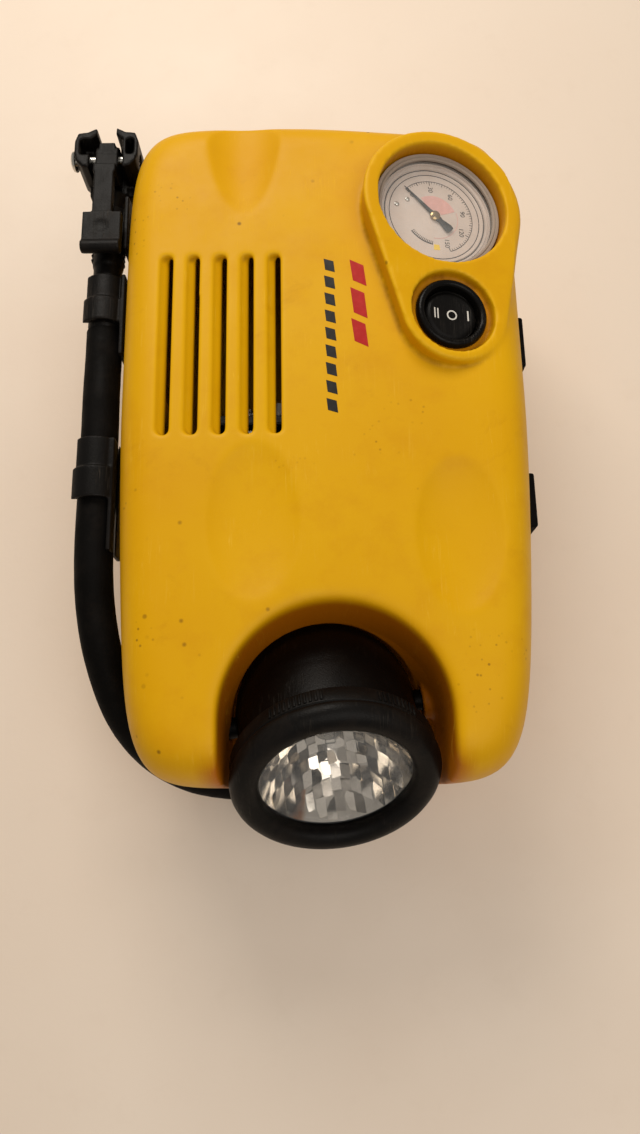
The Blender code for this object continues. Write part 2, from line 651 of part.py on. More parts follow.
def make_chuck():
    stand = along((0, 1, 0), (CHUCK_X, 0, CHUCK_Z))
    barrel = [(0, 96), (BARREL_R, 96), (BARREL_R, 67), (4.9, 66), (4.9, 61.7), (0, 61.7)]
    body = turned("chuck_body", barrel, "black_plastic", stand, 28)
    core = rod("chuck_core", (CHUCK_X, 92, CHUCK_Z - 2), (CHUCK_X, 116.5, CHUCK_Z - 2), 6.2, None, 24)
    join(body, core, block("chuck_web", (CHUCK_X - 8, 96.5, 58.5), (CHUCK_X + 8, 114.5, 66), None))
    ear = ((5.8, 100.3), (8.4, 100.8), (10.4, 103), (11.2, 106), (11.2, 111), (10.0, 114.4), (6.8, 114.6), (3.4, 116.4),
           (3.2, 113.8), (5.7, 111.6))
    for side, name in ((-1, "chuck_ear_left"), (1, "chuck_ear_right")):
        points = [(CHUCK_X + side * x, y) for x, y in ear]
        join(body, outline(name, points, 61, 77, None))
    cut(body, block("cam_room", (CHUCK_X - 5.7, 96.5, 66.6), (CHUCK_X + 5.7, 111.7, 100), None),
        block("horn_room", (CHUCK_X - 3.2, 111, 66.6), (CHUCK_X + 3.2, 130, 100), None),
        rod("chuck_mouth", (CHUCK_X, 104, CHUCK_Z - 2.6), (CHUCK_X, 125, CHUCK_Z - 2.6), 4.1, None, 20),
        rod("pin_bore", CHUCK_PIN - Vector((20, 0, 0)), CHUCK_PIN + Vector((20, 0, 0)), 1.9, None, 16))
    pin = [(0, 23.9), (1.6, 23.9), (1.6, 1.9), (3.7, 1.9), (3.2, 0.6), (1.6, 0), (0, 0)]
    turned("chuck_pin", pin, "bright_metal", along((1, 0, 0), CHUCK_PIN - Vector((13.4, 0, 0))), 20)
    half = Vector((3.9, 0, 0))
    lever = rod("chuck_lever", CHUCK_PIN - half, CHUCK_PIN + half, 4.4, "black_plastic", 24)
    cam = block("lever_cam", (CHUCK_X - 3.9, 98.4, 68.2), (CHUCK_X + 3.9, 108.2, 75.8), None, 0.8)
    tail = block("lever_tail", (CHUCK_X - 2.8, 104, 70.3), (CHUCK_X + 2.8, 111.2, 75.7), None, 0.4)
    heel = block("lever_heel", (CHUCK_X - 3.9, 97.6, 70.0), (CHUCK_X + 3.9, 100.8, 78.2), None, 0.8)
    arm = block("lever_arm", (CHUCK_X - 3.4, 79, 75.0), (CHUCK_X + 3.4, 99, 78.2), None)
    pad = block("lever_pad", (CHUCK_X - 6.9, 66.8, 75.0), (CHUCK_X + 6.9, 82.6, 78.4), None, 1.2)
    lip = rod("lever_lip", (CHUCK_X - 6.6, 68.2, 77.2), (CHUCK_X + 6.6, 68.2, 77.2), 2.2, None, 16)
    join(lever, cam, tail, heel, arm, pad, lip)
    cut(lever, rod("lever_bore", CHUCK_PIN - 2 * half, CHUCK_PIN + 2 * half, 1.9, None, 16))


def finish_model():
    """Turns millimetres into metres, and puts the origin under the middle of the whole object."""
    bpy.context.view_layer.update()
    deps = bpy.context.evaluated_depsgraph_get()
    low, high = Vector((1e9,) * 3), Vector((-1e9,) * 3)
    for thing in PARTS.objects:
        shape = thing.evaluated_get(deps)
        for vert in shape.data.vertices:
            spot = shape.matrix_world @ vert.co
            low = Vector(map(min, low, spot))
            high = Vector(map(max, high, spot))
    middle = Vector(((low.x + high.x) / 2, (low.y + high.y) / 2, low.z))
    root = Matrix.Scale(MM, 4) @ Matrix.Translation(-middle)
    for thing in [*PARTS.objects, *CUTTERS.objects]:
        thing.matrix_world = root @ thing.matrix_world
    print("origin in casing millimetres", tuple(round(v, 3) for v in middle))


clear_scene()
PARTS = bpy.data.collections.new("tire_inflator")
CUTTERS = bpy.data.collections.new("cutters")
bpy.context.scene.collection.children.link(PARTS)
bpy.context.scene.collection.children.link(CUTTERS)
MATERIALS = {name: make_material(name) for name in COLOURS}
HOSE_PATH = smooth_route(HOSE_ROUTE, 2)
casing("upper_shell", True)
casing("lower_shell", False)
make_lamp()
make_gauge()
make_switch()
make_feet()
make_screws()
make_pump()
make_hose()
make_clips()
make_chuck()
finish_model()
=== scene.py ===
"""Looks of the portable tire inflator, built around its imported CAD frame.

Every piece is modelled in millimetres about the middle of the casing, as in the CAD, and placed by TO_ROW.
"""

import random
from math import atan2, copysign, cos, hypot, pi, radians, sin, tan

import bmesh
import bpy
import numpy as np
from mathutils import Matrix, Vector


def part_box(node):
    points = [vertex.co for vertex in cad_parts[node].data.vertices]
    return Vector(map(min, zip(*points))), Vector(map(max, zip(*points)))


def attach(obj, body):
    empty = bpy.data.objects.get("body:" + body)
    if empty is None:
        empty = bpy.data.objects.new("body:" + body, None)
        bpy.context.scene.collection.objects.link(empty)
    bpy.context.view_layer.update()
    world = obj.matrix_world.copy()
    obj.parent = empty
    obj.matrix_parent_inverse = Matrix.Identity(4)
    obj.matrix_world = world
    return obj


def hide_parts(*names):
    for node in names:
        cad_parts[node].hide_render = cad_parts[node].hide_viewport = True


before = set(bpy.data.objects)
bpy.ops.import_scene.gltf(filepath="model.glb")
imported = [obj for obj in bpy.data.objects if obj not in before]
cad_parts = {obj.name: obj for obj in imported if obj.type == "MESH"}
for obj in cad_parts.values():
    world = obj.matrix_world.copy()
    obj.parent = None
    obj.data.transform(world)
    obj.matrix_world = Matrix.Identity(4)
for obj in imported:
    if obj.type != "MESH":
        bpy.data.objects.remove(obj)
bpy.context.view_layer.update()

MM = 0.001
FOOT_LOW, FOOT_HIGH = (Vector(corner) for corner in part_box("foot_1"))
ORIGIN = Vector(((FOOT_LOW.x + FOOT_HIGH.x) / 2 + 38 * MM, (FOOT_LOW.y + FOOT_HIGH.y) / 2 - 80 * MM, 0))
TO_ROW = Matrix.Translation(ORIGIN) @ Matrix.Scale(MM, 4)

# Camera: the lens from the field of view, and the place in casing millimetres
PICTURE_LONG_SIDE = 1134
FOCAL_LENGTH = 850
SENSOR = 36.0
CAMERA_PLACE = Vector((-2, -110, 328))
CAMERA_TILT, CAMERA_ROLL = radians(14.5), radians(-1.0)

# Studio light, in metres: place, aim, size, power, colour
KEY_LIGHT = ((-0.12, 0.46, 0.50), (0.0, 0.08, 0.06), (0.34, 0.28), 2.5, (1.0, 0.93, 0.84))
FILL_LIGHT = ((0.30, -0.35, 1.05), (0.02, 0.0, 0.03), (0.8, 0.8), 4.6, (1.0, 0.94, 0.87))
ROOM_COLOUR, ROOM_STRENGTH = (1.0, 0.93, 0.85, 1.0), 0.36
FLOOR_HALF = 1.6

# Casing, as in the CAD
BODY_HALF_W, BODY_HALF_L, BODY_HALF_H = 66.4, 111.5, 42.0
BODY_MID_Y, BODY_MID_Z = 1.5, 46.0
PLAN_POWER, EDGE_POWER, EDGE_INSET = 9.0, 4.0, 20.0
TAPER_FROM, TAPER_WIDTH, TAPER_SHIFT, REAR_SKEW = 10.0, 7.0, 1.0, 5.5
TOP = BODY_MID_Z + BODY_HALF_H
WALL = 2.6
SEAM_GAP = 0.3
POD_TILT = radians(14)
POD_X, POD_Z = 39.5, 92.0
POD_CIRCLES = ((40.3, 72.8, 26.6), (41.7, 33.4, 17.4))
POD_FOOT_Z = 48.0
GAUGE_X, GAUGE_Y = 0.6, 72.6
SWITCH_X, SWITCH_Y = 1.9, 33.2
ROCKER_DEPTH = -5.8
GAUGE_BORE_R, SWITCH_RECESS_R, SWITCH_BORE_R = 22.0, 13.9, 10.5
GAUGE_COLLAR_R, SWITCH_COLLAR_R = 24.2, 15.8
SLOT_FIRST, SLOT_PITCH, SLOT_COUNT, SLOT_W = -51.1, 8.64, 5, 3.5
SLOT_LOW, SLOT_HIGH = -5.4, 56.8
THUMB_PLACE, THUMB_LIFT, THUMB_HALF = (-25, 122), 12, (19, 70, 17.5)
DIMPLE_LIFT = 4
DIMPLES = (((-21.5, -33), (18, 31.5, 6.6)), ((40, -38), (17, 30, 6.8)))
SCREW_PLACES = ((-50, 92), (50, 96), (-54, 8), (55, 2), (-43, -80), (51, -86))
FOOT_PLACES = ((-38, 80), (38, 80), (-36, -64), (36, -64))
PAD_PLACES = ((66.7, 38.4), (66.2, -19.4))

# Lamp head
LAMP_PIVOT = Vector((-0.9, -87.3, 51.0))
LAMP_YAW, LAMP_TILT = radians(7.5), radians(38)
LAMP_R = 29.0
BOWL_LOW_R, BOWL_SPAN, BOWL_FLOOR, BOWL_DEPTH = 5.2, 19.1, 3.6, 20
BAY_X, BAY_HALF_W, BAY_SEAT_R = 1.7, 33.4, 30.3
BAY_BACK = ((96.0, -56.3), (64.0, -60.6), (17.5, -76.0))

# Hose and chuck
HOSE_R, HOSE_X, HOSE_Z = 6.0, -73.2, 70.0
CHUCK_X, CHUCK_Z = -74.4, 66.0
CHUCK_PIN = Vector((CHUCK_X, 106.8, 71.5))
CLIP_WALL_X = -66.7
FIT = 0.3
HOSE_ROUTE = (
    (CHUCK_X, 41.3, CHUCK_Z),
    (-74.2, 32.0, 66.5),
    (-73.7, 17.0, 68.7),
    (HOSE_X, 3.0, HOSE_Z),
    (HOSE_X, -12.0, HOSE_Z),
    (HOSE_X, -38.0, HOSE_Z),
    (-72.3, -56.0, 67.4),
    (-69.8, -72.0, 61.8),
    (-65.4, -87.0, 51.6),
    (-58.0, -98.0, 39.6),
    (-47.6, -104.8, 27.6),
    (-36.0, -107.6, 18.0),
    (-25.0, -108.0, 12.4),
    (-18.0, -108.0, 11.3),
    (-12.0, -108.0, 11.3),
)

CHANNEL_GAP = 1.2

# How finely the casing is moulded, and how softly the rims of its dimples and thumb groove are rounded:
# middle, half size, softness
VOXEL_SHELL = 0.6
SHELL_FACES = 190000
SOFT_RIMS = ((DIMPLES[0][0], (15, 26), 0.03), (DIMPLES[1][0], (15, 24), 0.06), (THUMB_PLACE, (15, 50), 0.25))

# Thickness of printed marks, and how far they stand off the surface
INK_THICK = 0.05
INK_LIFT = 0.02


# ---- meshes

def mesh_of(build):
    bm = bmesh.new()
    build(bm)
    bmesh.ops.recalc_face_normals(bm, faces=bm.faces)
    mesh = bpy.data.meshes.new("mesh")
    bm.to_mesh(mesh)
    bm.free()
    return mesh


def moved(mesh, matrix):
    mesh.transform(matrix)
    return mesh


def added(name, data):
    """A new object in the scene."""
    thing = bpy.data.objects.new(name, data)
    bpy.context.scene.collection.objects.link(thing)
    return thing


def baked(thing):
    """The mesh that an object's modifiers give; the object goes."""
    deps = bpy.context.evaluated_depsgraph_get()
    mesh = bpy.data.meshes.new_from_object(thing.evaluated_get(deps))
    bpy.data.objects.remove(thing)
    return mesh


def add_modifier(thing, kind, **settings):
    mod = thing.modifiers.new(kind, kind)
    for key, value in settings.items():
        setattr(mod, key, value)


def modified(mesh, kind, **settings):
    thing = added("work", mesh)
    add_modifier(thing, kind, **settings)
    return baked(thing)


def boolean(mesh, others, operation="DIFFERENCE"):
    """One mesh with several others joined to it or cut out of it."""
    thing = added("work", mesh)
    tools = [added("work", other) for other in others]
    for tool in tools:
        add_modifier(thing, "BOOLEAN", object=tool, operation=operation, solver="EXACT")
    result = baked(thing)
    for tool in tools:
        bpy.data.objects.remove(tool)
    return result


def join(mesh, *others):
    return boolean(mesh, others, "UNION")


def cut(mesh, *others):
    return boolean(mesh, others)


def rounded(mesh, width, segments=3, angle=30):
    """A mesh with its sharp edges bevelled."""
    return modified(mesh, "BEVEL", width=width, segments=segments, limit_method="ANGLE",
                    angle_limit=radians(angle))


def thinned(mesh, faces):
    """A mesh of at most about this many triangles."""
    count = sum(len(polygon.vertices) - 2 for polygon in mesh.polygons)
    return mesh if count <= faces else modified(mesh, "DECIMATE", ratio=faces / count)


def points_of(mesh):
    flat = np.empty(len(mesh.vertices) * 3)
    mesh.vertices.foreach_get("co", flat)
    return flat.reshape(-1, 3)


def set_points(mesh, points):
    mesh.vertices.foreach_set("co", points.ravel())
    mesh.update()


def linked(mesh):
    """A mesh's points, its edges, and how many edges meet at each point."""
    points = points_of(mesh)
    flat = np.empty(len(mesh.edges) * 2, dtype=np.int64)
    mesh.edges.foreach_get("vertices", flat)
    return points, flat.reshape(-1, 2), np.maximum(np.bincount(flat, minlength=len(points)), 1)


def store(mesh, name, values):
    """Gives each point of a mesh a value that the materials read."""
    attribute = mesh.attributes.new(name, "FLOAT", "POINT")
    attribute.data.foreach_set("value", values.astype(np.float32))
    return mesh


def neighbour_mean(points, edges, degree):
    count = len(points)
    total = np.empty_like(points)
    for axis in range(points.shape[1]):
        column = points[:, axis]
        total[:, axis] = (np.bincount(edges[:, 0], column[edges[:, 1]], count)
                          + np.bincount(edges[:, 1], column[edges[:, 0]], count))
    return total / degree[:, None]


def relaxed(mesh, passes, weight=None):
    """Rounds a remeshed form: weight gives, for every point, how much it may move."""
    points, edges, degree = linked(mesh)
    share = 0.5 if weight is None else 0.5 * weight(points)[:, None]
    for _ in range(passes):
        points += share * (neighbour_mean(points, edges, degree) - points)
    set_points(mesh, points)
    return mesh


def mark_edges(mesh):
    """Stores how convex or hollow the surface is, which the materials use for wear, for grime and for painted
    shade in hollows.
    """
    points, edges, degree = linked(mesh)
    normals = np.empty(len(points) * 3)
    mesh.vertices.foreach_get("normal", normals)
    normals = normals.reshape(-1, 3)
    bend = ((points - neighbour_mean(points, edges, degree)) * normals).sum(1)[:, None]
    for _ in range(2):
        bend = 0.5 * bend + 0.5 * neighbour_mean(bend, edges, degree)
    return store(mesh, "bend", bend[:, 0] / (np.std(bend) + 1e-9))


def moulded(mesh, voxel, passes):
    """A boolean result turned into one smoothly rounded moulding."""
    return relaxed(modified(mesh, "REMESH", mode="VOXEL", voxel_size=voxel), passes)


def block(low, high, bevel=0.0, segments=3):
    low, high = Vector(low), Vector(high)

    def build(bm):
        bmesh.ops.create_cube(bm, size=1)
        bmesh.ops.scale(bm, vec=high - low, verts=bm.verts)
        bmesh.ops.translate(bm, vec=(low + high) / 2, verts=bm.verts)

    mesh = mesh_of(build)
    return rounded(mesh, bevel, segments) if bevel else mesh


def turned(profile, steps=64, matrix=None):
    """A solid turned about Z from closed (radius, height) points; the ends may lie on the axis."""

    def build(bm):
        on_axis = profile[0][0] == 0 and profile[-1][0] == 0
        spots = [bm.verts.new((r, 0, h)) for r, h in profile]
        for a, b in zip(spots, spots[1:]):
            bm.edges.new((a, b))
        if not on_axis:
            bm.edges.new((spots[-1], spots[0]))
        bmesh.ops.spin(bm, geom=bm.verts[:] + bm.edges[:], axis=(0, 0, 1), cent=(0, 0, 0),
                       angle=2 * pi, steps=steps, use_merge=True)
        bmesh.ops.remove_doubles(bm, verts=bm.verts, dist=0.0001)

    mesh = mesh_of(build)
    return moved(mesh, matrix) if matrix else mesh


def along(direction, place):
    """The matrix that stands a turned solid on place with its axis along direction."""
    turn = Vector(direction).to_track_quat("Z", "Y").to_matrix().to_4x4()
    return Matrix.Translation(Vector(place)) @ turn


def rod(start, end, radius, steps=48):
    start, end = Vector(start), Vector(end)
    length = (end - start).length
    return turned([(0, length), (radius, length), (radius, 0), (0, 0)], steps, along(end - start, start))


def outline(points, low, high):
    def build(bm):
        face = bm.faces.new([bm.verts.new((x, y, low)) for x, y in points])
        made = bmesh.ops.extrude_face_region(bm, geom=[face])
        top = [v for v in made["geom"] if isinstance(v, bmesh.types.BMVert)]
        bmesh.ops.translate(bm, vec=(0, 0, high - low), verts=top)

    return mesh_of(build)


def ellipsoid(centre, half, segments=64):
    def build(bm):
        bmesh.ops.create_uvsphere(bm, u_segments=segments, v_segments=segments // 2, radius=1)
        bmesh.ops.scale(bm, vec=Vector(half), verts=bm.verts)
        bmesh.ops.translate(bm, vec=Vector(centre), verts=bm.verts)

    return mesh_of(build)


def hull(points):
    def build(bm):
        for point in points:
            bm.verts.new(point)
        made = bmesh.ops.convex_hull(bm, input=bm.verts)
        loose = {v for v in made["geom_interior"] + made["geom_unused"] if isinstance(v, bmesh.types.BMVert)}
        bmesh.ops.delete(bm, geom=list(loose), context="VERTS")

    return mesh_of(build)


def smooth_route(points, per_span):
    """Points on a Catmull-Rom curve through the given points."""
    spots = [Vector(p) for p in points]
    spots = [2 * spots[0] - spots[1], *spots, 2 * spots[-1] - spots[-2]]
    out = []
    for p0, p1, p2, p3 in zip(spots, spots[1:], spots[2:], spots[3:]):
        for k in range(per_span):
            t = k / per_span
            out.append(0.5 * (2 * p1 + (p2 - p0) * t + (2 * p0 - 5 * p1 + 4 * p2 - p3) * t * t
                              + (3 * p1 - p0 - 3 * p2 + p3) * t ** 3))
    out.append(spots[-2])
    return out


def tube(points, radius, around=40):
    """A closed round tube along points; radius is a number or a function of the distance along it."""

    def build(bm):
        rings = []
        side = None
        gone = 0.0
        for k, point in enumerate(points):
            before, after = points[max(k - 1, 0)], points[min(k + 1, len(points) - 1)]
            way = (after - before).normalized()
            side = way.orthogonal() if side is None else side - way * side.dot(way)
            side.normalize()
            up = way.cross(side)
            gone += (point - before).length if k else 0.0
            r = radius(gone) if callable(radius) else radius
            turns = [2 * pi * j / around for j in range(around)]
            rings.append([bm.verts.new(point + (side * cos(t) + up * sin(t)) * r) for t in turns])
        for low, high in zip(rings, rings[1:]):
            for j in range(around):
                bm.faces.new((low[j], low[(j + 1) % around], high[(j + 1) % around], high[j]))
        bm.faces.new(rings[0])
        bm.faces.new(rings[-1])

    return mesh_of(build)


def merged(meshes):
    """Several meshes in one, without a boolean."""
    bm = bmesh.new()
    for mesh in meshes:
        bm.from_mesh(mesh)
    out = bpy.data.meshes.new("mesh")
    bm.to_mesh(out)
    bm.free()
    return out


def piece(name, mesh, body, slot, material, *nodes, smooth=40):
    """Puts a finished mesh into the row frame as a piece of the object."""
    moved(mesh, TO_ROW)
    if smooth:
        mesh.shade_smooth()
        mesh.set_sharp_from_angle(angle=radians(smooth))
    else:
        mesh.shade_flat()
    mesh.materials.clear()
    mesh.materials.append(material)
    mesh.name = name
    thing = added(name, mesh)
    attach(thing, body)
    if nodes:
        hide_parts(*nodes)


# ---- materials

class Nodes:
    """A short way to wire shader nodes. Sockets are named, and a plain value is set on the socket itself."""

    def __init__(self, name):
        self.material = bpy.data.materials.new(name)
        self.material.use_nodes = True
        self.tree = self.material.node_tree
        self.shader = self.tree.nodes["Principled BSDF"]
        self.place = self.tree.nodes.new("ShaderNodeTexCoord").outputs["Object"]

    def feed(self, socket, value):
        if isinstance(value, bpy.types.NodeSocket):
            self.tree.links.new(value, socket)
        elif value is not None:
            socket.default_value = value

    def node(self, kind, settings=None, **inputs):
        made = self.tree.nodes.new(kind)
        for key, value in (settings or {}).items():
            setattr(made, key, value)
        for key, value in inputs.items():
            self.feed(made.inputs[key.replace("_", " ")], value)
        return made

    def stretched(self, scale, turn=0.0):
        made = self.node("ShaderNodeMapping", Scale=scale, Rotation=(0, 0, turn), Vector=self.place)
        return made.outputs["Vector"]

    def noise(self, scale, detail=3.0, rough=0.55, place=None, distortion=0.0):
        made = self.node("ShaderNodeTexNoise", Vector=place or self.place, Scale=scale, Detail=detail,
                         Roughness=rough, Distortion=distortion)
        return made.outputs["Fac"]

    def specks(self, scale):
        made = self.node("ShaderNodeTexVoronoi", Vector=self.place, Scale=scale)
        return made.outputs["Distance"]

    def ramp(self, value, low, high, start=0.0, end=1.0):
        made = self.node("ShaderNodeMapRange", From_Min=low, From_Max=high, To_Min=start, To_Max=end,
                         Value=value)
        return made.outputs["Result"]

    def maths(self, operation, a, b):
        made = self.node("ShaderNodeMath", {"operation": operation})
        self.feed(made.inputs[0], a)
        self.feed(made.inputs[1], b)
        return made.outputs[0]

    def times(self, a, b):
        return self.maths("MULTIPLY", a, b)

    def plus(self, a, b):
        return self.maths("ADD", a, b)

    def mix(self, share, a, b):
        made = self.node("ShaderNodeMix", {"data_type": "RGBA"})
        self.feed(made.inputs[0], share)
        self.feed(made.inputs[6], a)
        self.feed(made.inputs[7], b)
        return made.outputs[2]

    def stored(self, name):
        """A value that the mesh carries for each of its points."""
        return self.node("ShaderNodeAttribute", {"attribute_name": name}).outputs["Fac"]

    def height(self, value, strength, distance):
        made = self.node("ShaderNodeBump", Height=value, Strength=strength, Distance=distance)
        self.feed(self.shader.inputs["Normal"], made.outputs["Normal"])

    def surface(self, colour, rough, **plain):
        self.feed(self.shader.inputs["Base Color"], colour)
        self.feed(self.shader.inputs["Roughness"], rough)
        for key, value in plain.items():
            self.shader.inputs[key.replace("_", " ")].default_value = value
        return self.material


def rgb(red, green, blue):
    """A linear colour from 0..255 display values."""
    def linear(value):
        value /= 255
        return value / 12.92 if value <= 0.04045 else ((value + 0.055) / 1.055) ** 2.4

    return (linear(red), linear(green), linear(blue), 1.0)


def scratches(n, turn, scale, width):
    """Thin lines along one direction, broken up by a coarse noise."""
    lines = n.noise(1.0, 2.0, 0.5, n.stretched((scale, scale * 0.025, scale * 0.05), turn))
    line = n.ramp(n.maths("ABSOLUTE", n.maths("SUBTRACT", lines, 0.5), 0.0), 0.0, width, 1.0, 0.0)
    broken = n.ramp(n.noise(55.0, 3.0, 0.6, n.stretched((1, 1, 1), turn)), 0.54, 0.66)
    return n.times(line, broken)


def yellow_plastic():
    """Semi-gloss casing: mottling, painted orange shade in the recesses, grime and painted shade in hollows,
    worn edges, specks and scratches.
    """
    n = Nodes("yellow_shell")
    colour = n.mix(n.ramp(n.noise(16.0, 4.0), 0.35, 0.7), rgb(216, 163, 1), rgb(209, 152, 1))
    colour = n.mix(n.ramp(n.noise(75.0, 5.0, 0.65), 0.5, 0.75, 0.0, 0.35), colour, rgb(199, 137, 1))
    colour = n.mix(n.ramp(n.stored("bend"), 0.8, 3.5, 0.0, 0.3), colour, rgb(234, 186, 26))
    # Painted shade: the lamp bay walls and the pod's recesses are tinted orange-brown by the stored shade
    # value.
    colour = n.mix(n.times(n.stored("shade"), 0.85), colour, rgb(168, 84, 2))
    # Partly grime and partly painted shade: concave places are darkened brown, broken up by noise, and made a
    # little rougher.
    hollow = n.ramp(n.stored("bend"), -0.8, -3.2, 0.0, 0.55)
    dirt_and_crease_shade = n.times(hollow, n.ramp(n.noise(140.0, 4.0), 0.35, 0.6))
    colour = n.mix(dirt_and_crease_shade, colour, rgb(120, 66, 4))
    smudge = n.ramp(n.noise(34.0, 6.0, 0.7, distortion=0.6), 0.6, 0.78, 0.0, 0.3)
    colour = n.mix(smudge, colour, rgb(160, 98, 3))
    where = n.ramp(n.noise(27.0, 2.0), 0.6, 0.7)
    speck = n.times(n.ramp(n.specks(430.0), 0.10, 0.22, 1.0, 0.0), where)
    where = n.ramp(n.noise(19.0, 2.0), 0.5, 0.6)
    coarse = n.times(n.ramp(n.specks(120.0), 0.05, 0.11, 1.0, 0.0), where)
    colour = n.mix(n.times(n.maths("MAXIMUM", speck, coarse), 0.7), colour, rgb(84, 48, 8))
    marks = n.maths("MAXIMUM", scratches(n, 0.5, 900.0, 0.012), scratches(n, -0.9, 700.0, 0.010))
    colour = n.mix(n.times(marks, 0.4), colour, rgb(232, 184, 60))
    rough = n.ramp(n.noise(60.0, 5.0, 0.7), 0.3, 0.75, 0.38, 0.54)
    rough = n.plus(rough, n.times(marks, 0.25))
    rough = n.plus(rough, n.times(dirt_and_crease_shade, 0.3))
    grain = n.plus(n.noise(2400.0, 2.0), n.times(marks, -1.6))
    n.height(n.plus(grain, n.times(n.noise(90.0, 2.0), 0.8)), 0.10, 0.0004)
    return n.surface(colour, rough, IOR=1.5, Specular_IOR_Level=0.14)


def black_plastic(name, tone, rough_low, rough_high, grain=1800.0, dust=0.25, warm=1):
    """Satin black moulding: spark-eroded grain, dust, greyed edges and rubbed patches."""
    n = Nodes(name)
    light = rgb(tone + 8, tone + 7 - warm, tone + 7 - 2 * warm)
    colour = n.mix(n.ramp(n.noise(40.0, 4.0), 0.35, 0.7), rgb(tone, tone - warm, tone - 2 * warm),
                   rgb(tone + 5, tone + 4 - warm, tone + 4 - 2 * warm))
    dusty = n.ramp(n.noise(70.0, 7.0, 0.75, distortion=0.8), 0.5, 0.8, 0.0, dust)
    colour = n.mix(dusty, colour, rgb(56, 46, 38))
    colour = n.mix(n.ramp(n.noise(600.0, 3.0), 0.62, 0.8, 0.0, 0.3), colour, light)
    worn = rgb(tone + 18, tone + 15 - warm, tone + 13 - 2 * warm)
    colour = n.mix(n.ramp(n.stored("bend"), 1.0, 4.0, 0.0, 0.5), colour, worn)
    marks = n.maths("MAXIMUM", scratches(n, 0.3, 1100.0, 0.012), scratches(n, 1.4, 900.0, 0.010))
    colour = n.mix(n.times(marks, 0.3), colour, rgb(84, 76, 66))
    rough = n.ramp(n.noise(95.0, 5.0, 0.7), 0.3, 0.75, rough_low, rough_high)
    rough = n.plus(rough, n.times(dusty, 0.5))
    n.height(n.maths("SUBTRACT", n.noise(grain, 3.0), n.times(marks, 1.2)), 0.28, 0.0003)
    return n.surface(colour, rough, IOR=1.48, Specular_IOR_Level=0.11)


def black_rubber():
    """Extruded hose rubber: matt, with fine lengthwise lines and dusty patches."""
    n = Nodes("black_rubber")
    colour = n.mix(n.ramp(n.noise(50.0, 5.0), 0.35, 0.7), rgb(6, 5, 4), rgb(12, 10, 9))
    dusty = n.ramp(n.noise(85.0, 7.0, 0.75), 0.52, 0.82, 0.0, 0.22)
    colour = n.mix(dusty, colour, rgb(44, 36, 30))
    lines = n.noise(1.0, 3.0, 0.6, n.stretched((1400, 60, 1400)))
    rough = n.ramp(n.noise(150.0, 4.0), 0.3, 0.7, 0.5, 0.72)
    n.height(n.plus(lines, n.noise(900.0, 3.0)), 0.25, 0.0003)
    return n.surface(colour, rough, IOR=1.5, Specular_IOR_Level=0.06)


def metal(name, colour, rough_low, rough_high, lines=(900, 900, 60)):
    """Plated or cast metal with tooling lines, stains and uneven polish."""
    n = Nodes(name)
    red, green, blue = colour
    dull, stain = rgb(red * 0.8, green * 0.79, blue * 0.76), rgb(red * 0.5, green * 0.46, blue * 0.4)
    tone = n.mix(n.ramp(n.noise(80.0, 5.0), 0.35, 0.75), rgb(*colour), dull)
    tone = n.mix(n.ramp(n.noise(300.0, 5.0, 0.7), 0.6, 0.8, 0.0, 0.4), tone, stain)
    rough = n.ramp(n.noise(180.0, 5.0), 0.3, 0.75, rough_low, rough_high)
    n.height(n.noise(1.0, 3.0, 0.6, n.stretched(lines)), 0.15, 0.0002)
    return n.surface(tone, rough, Metallic=1.0)


def printed(name, colour):
    """Screen-printed ink with thin spots."""
    n = Nodes(name)
    thin = rgb(*(min(255, channel + 34) for channel in colour))
    tone = n.mix(n.ramp(n.noise(500.0, 4.0), 0.45, 0.75, 0.0, 0.3), rgb(*colour), thin)
    n.height(n.noise(3000.0, 2.0), 0.1, 0.0001)
    return n.surface(tone, n.ramp(n.noise(400.0, 3.0), 0.3, 0.7, 0.39, 0.55), Specular_IOR_Level=0.2)


def dial_paint():
    """A faintly yellowed dial with fine print grain."""
    n = Nodes("dial_face")
    colour = n.mix(n.ramp(n.noise(90.0, 5.0), 0.35, 0.75), rgb(206, 190, 178), rgb(190, 173, 160))
    colour = n.mix(n.ramp(n.noise(260.0, 6.0, 0.7), 0.62, 0.8, 0.0, 0.35), colour, rgb(158, 148, 138))
    n.height(n.noise(2600.0, 2.0), 0.1, 0.0001)
    return n.surface(colour, n.ramp(n.noise(300.0, 3.0), 0.3, 0.7, 0.4, 0.58))


def glass(name):
    """Clear moulding: mostly let through, with smears that catch the light."""
    n = Nodes(name)
    smear = n.ramp(n.noise(60.0, 7.0, 0.7, distortion=1.2), 0.45, 0.8)
    n.feed(n.shader.inputs["Alpha"], n.ramp(smear, 0.0, 1.0, 0.05, 0.12))
    n.height(n.noise(40.0, 2.0), 0.06, 0.0004)
    n.material.surface_render_method = "BLENDED"
    rough = n.ramp(smear, 0.0, 1.0, 0.03, 0.16)
    return n.surface(rgb(238, 242, 244), rough, IOR=1.52, Specular_IOR_Level=1.0, Coat_Weight=0.6,
                     Coat_Roughness=0.03)


def mirror():
    """Vacuum-metallised plastic, a little hazy, with painted reflections: each mirror tile is given its own
    bright or dark colour.
    """
    n = Nodes("reflector")
    # Painted reflection: the stored tone makes each tile bright or dark, as if it reflected a lit or an unlit
    # part of the room.
    colour = n.mix(n.ramp(n.stored("tone"), 0.15, 0.7), rgb(92, 84, 74), rgb(238, 231, 220))
    colour = n.mix(n.ramp(n.noise(120.0, 5.0), 0.4, 0.75, 0.0, 0.4), colour, rgb(150, 142, 130))
    n.height(n.noise(160.0, 3.0), 0.05, 0.0004)
    return n.surface(colour, n.ramp(n.noise(240.0, 5.0), 0.3, 0.8, 0.05, 0.2), Metallic=1.0)


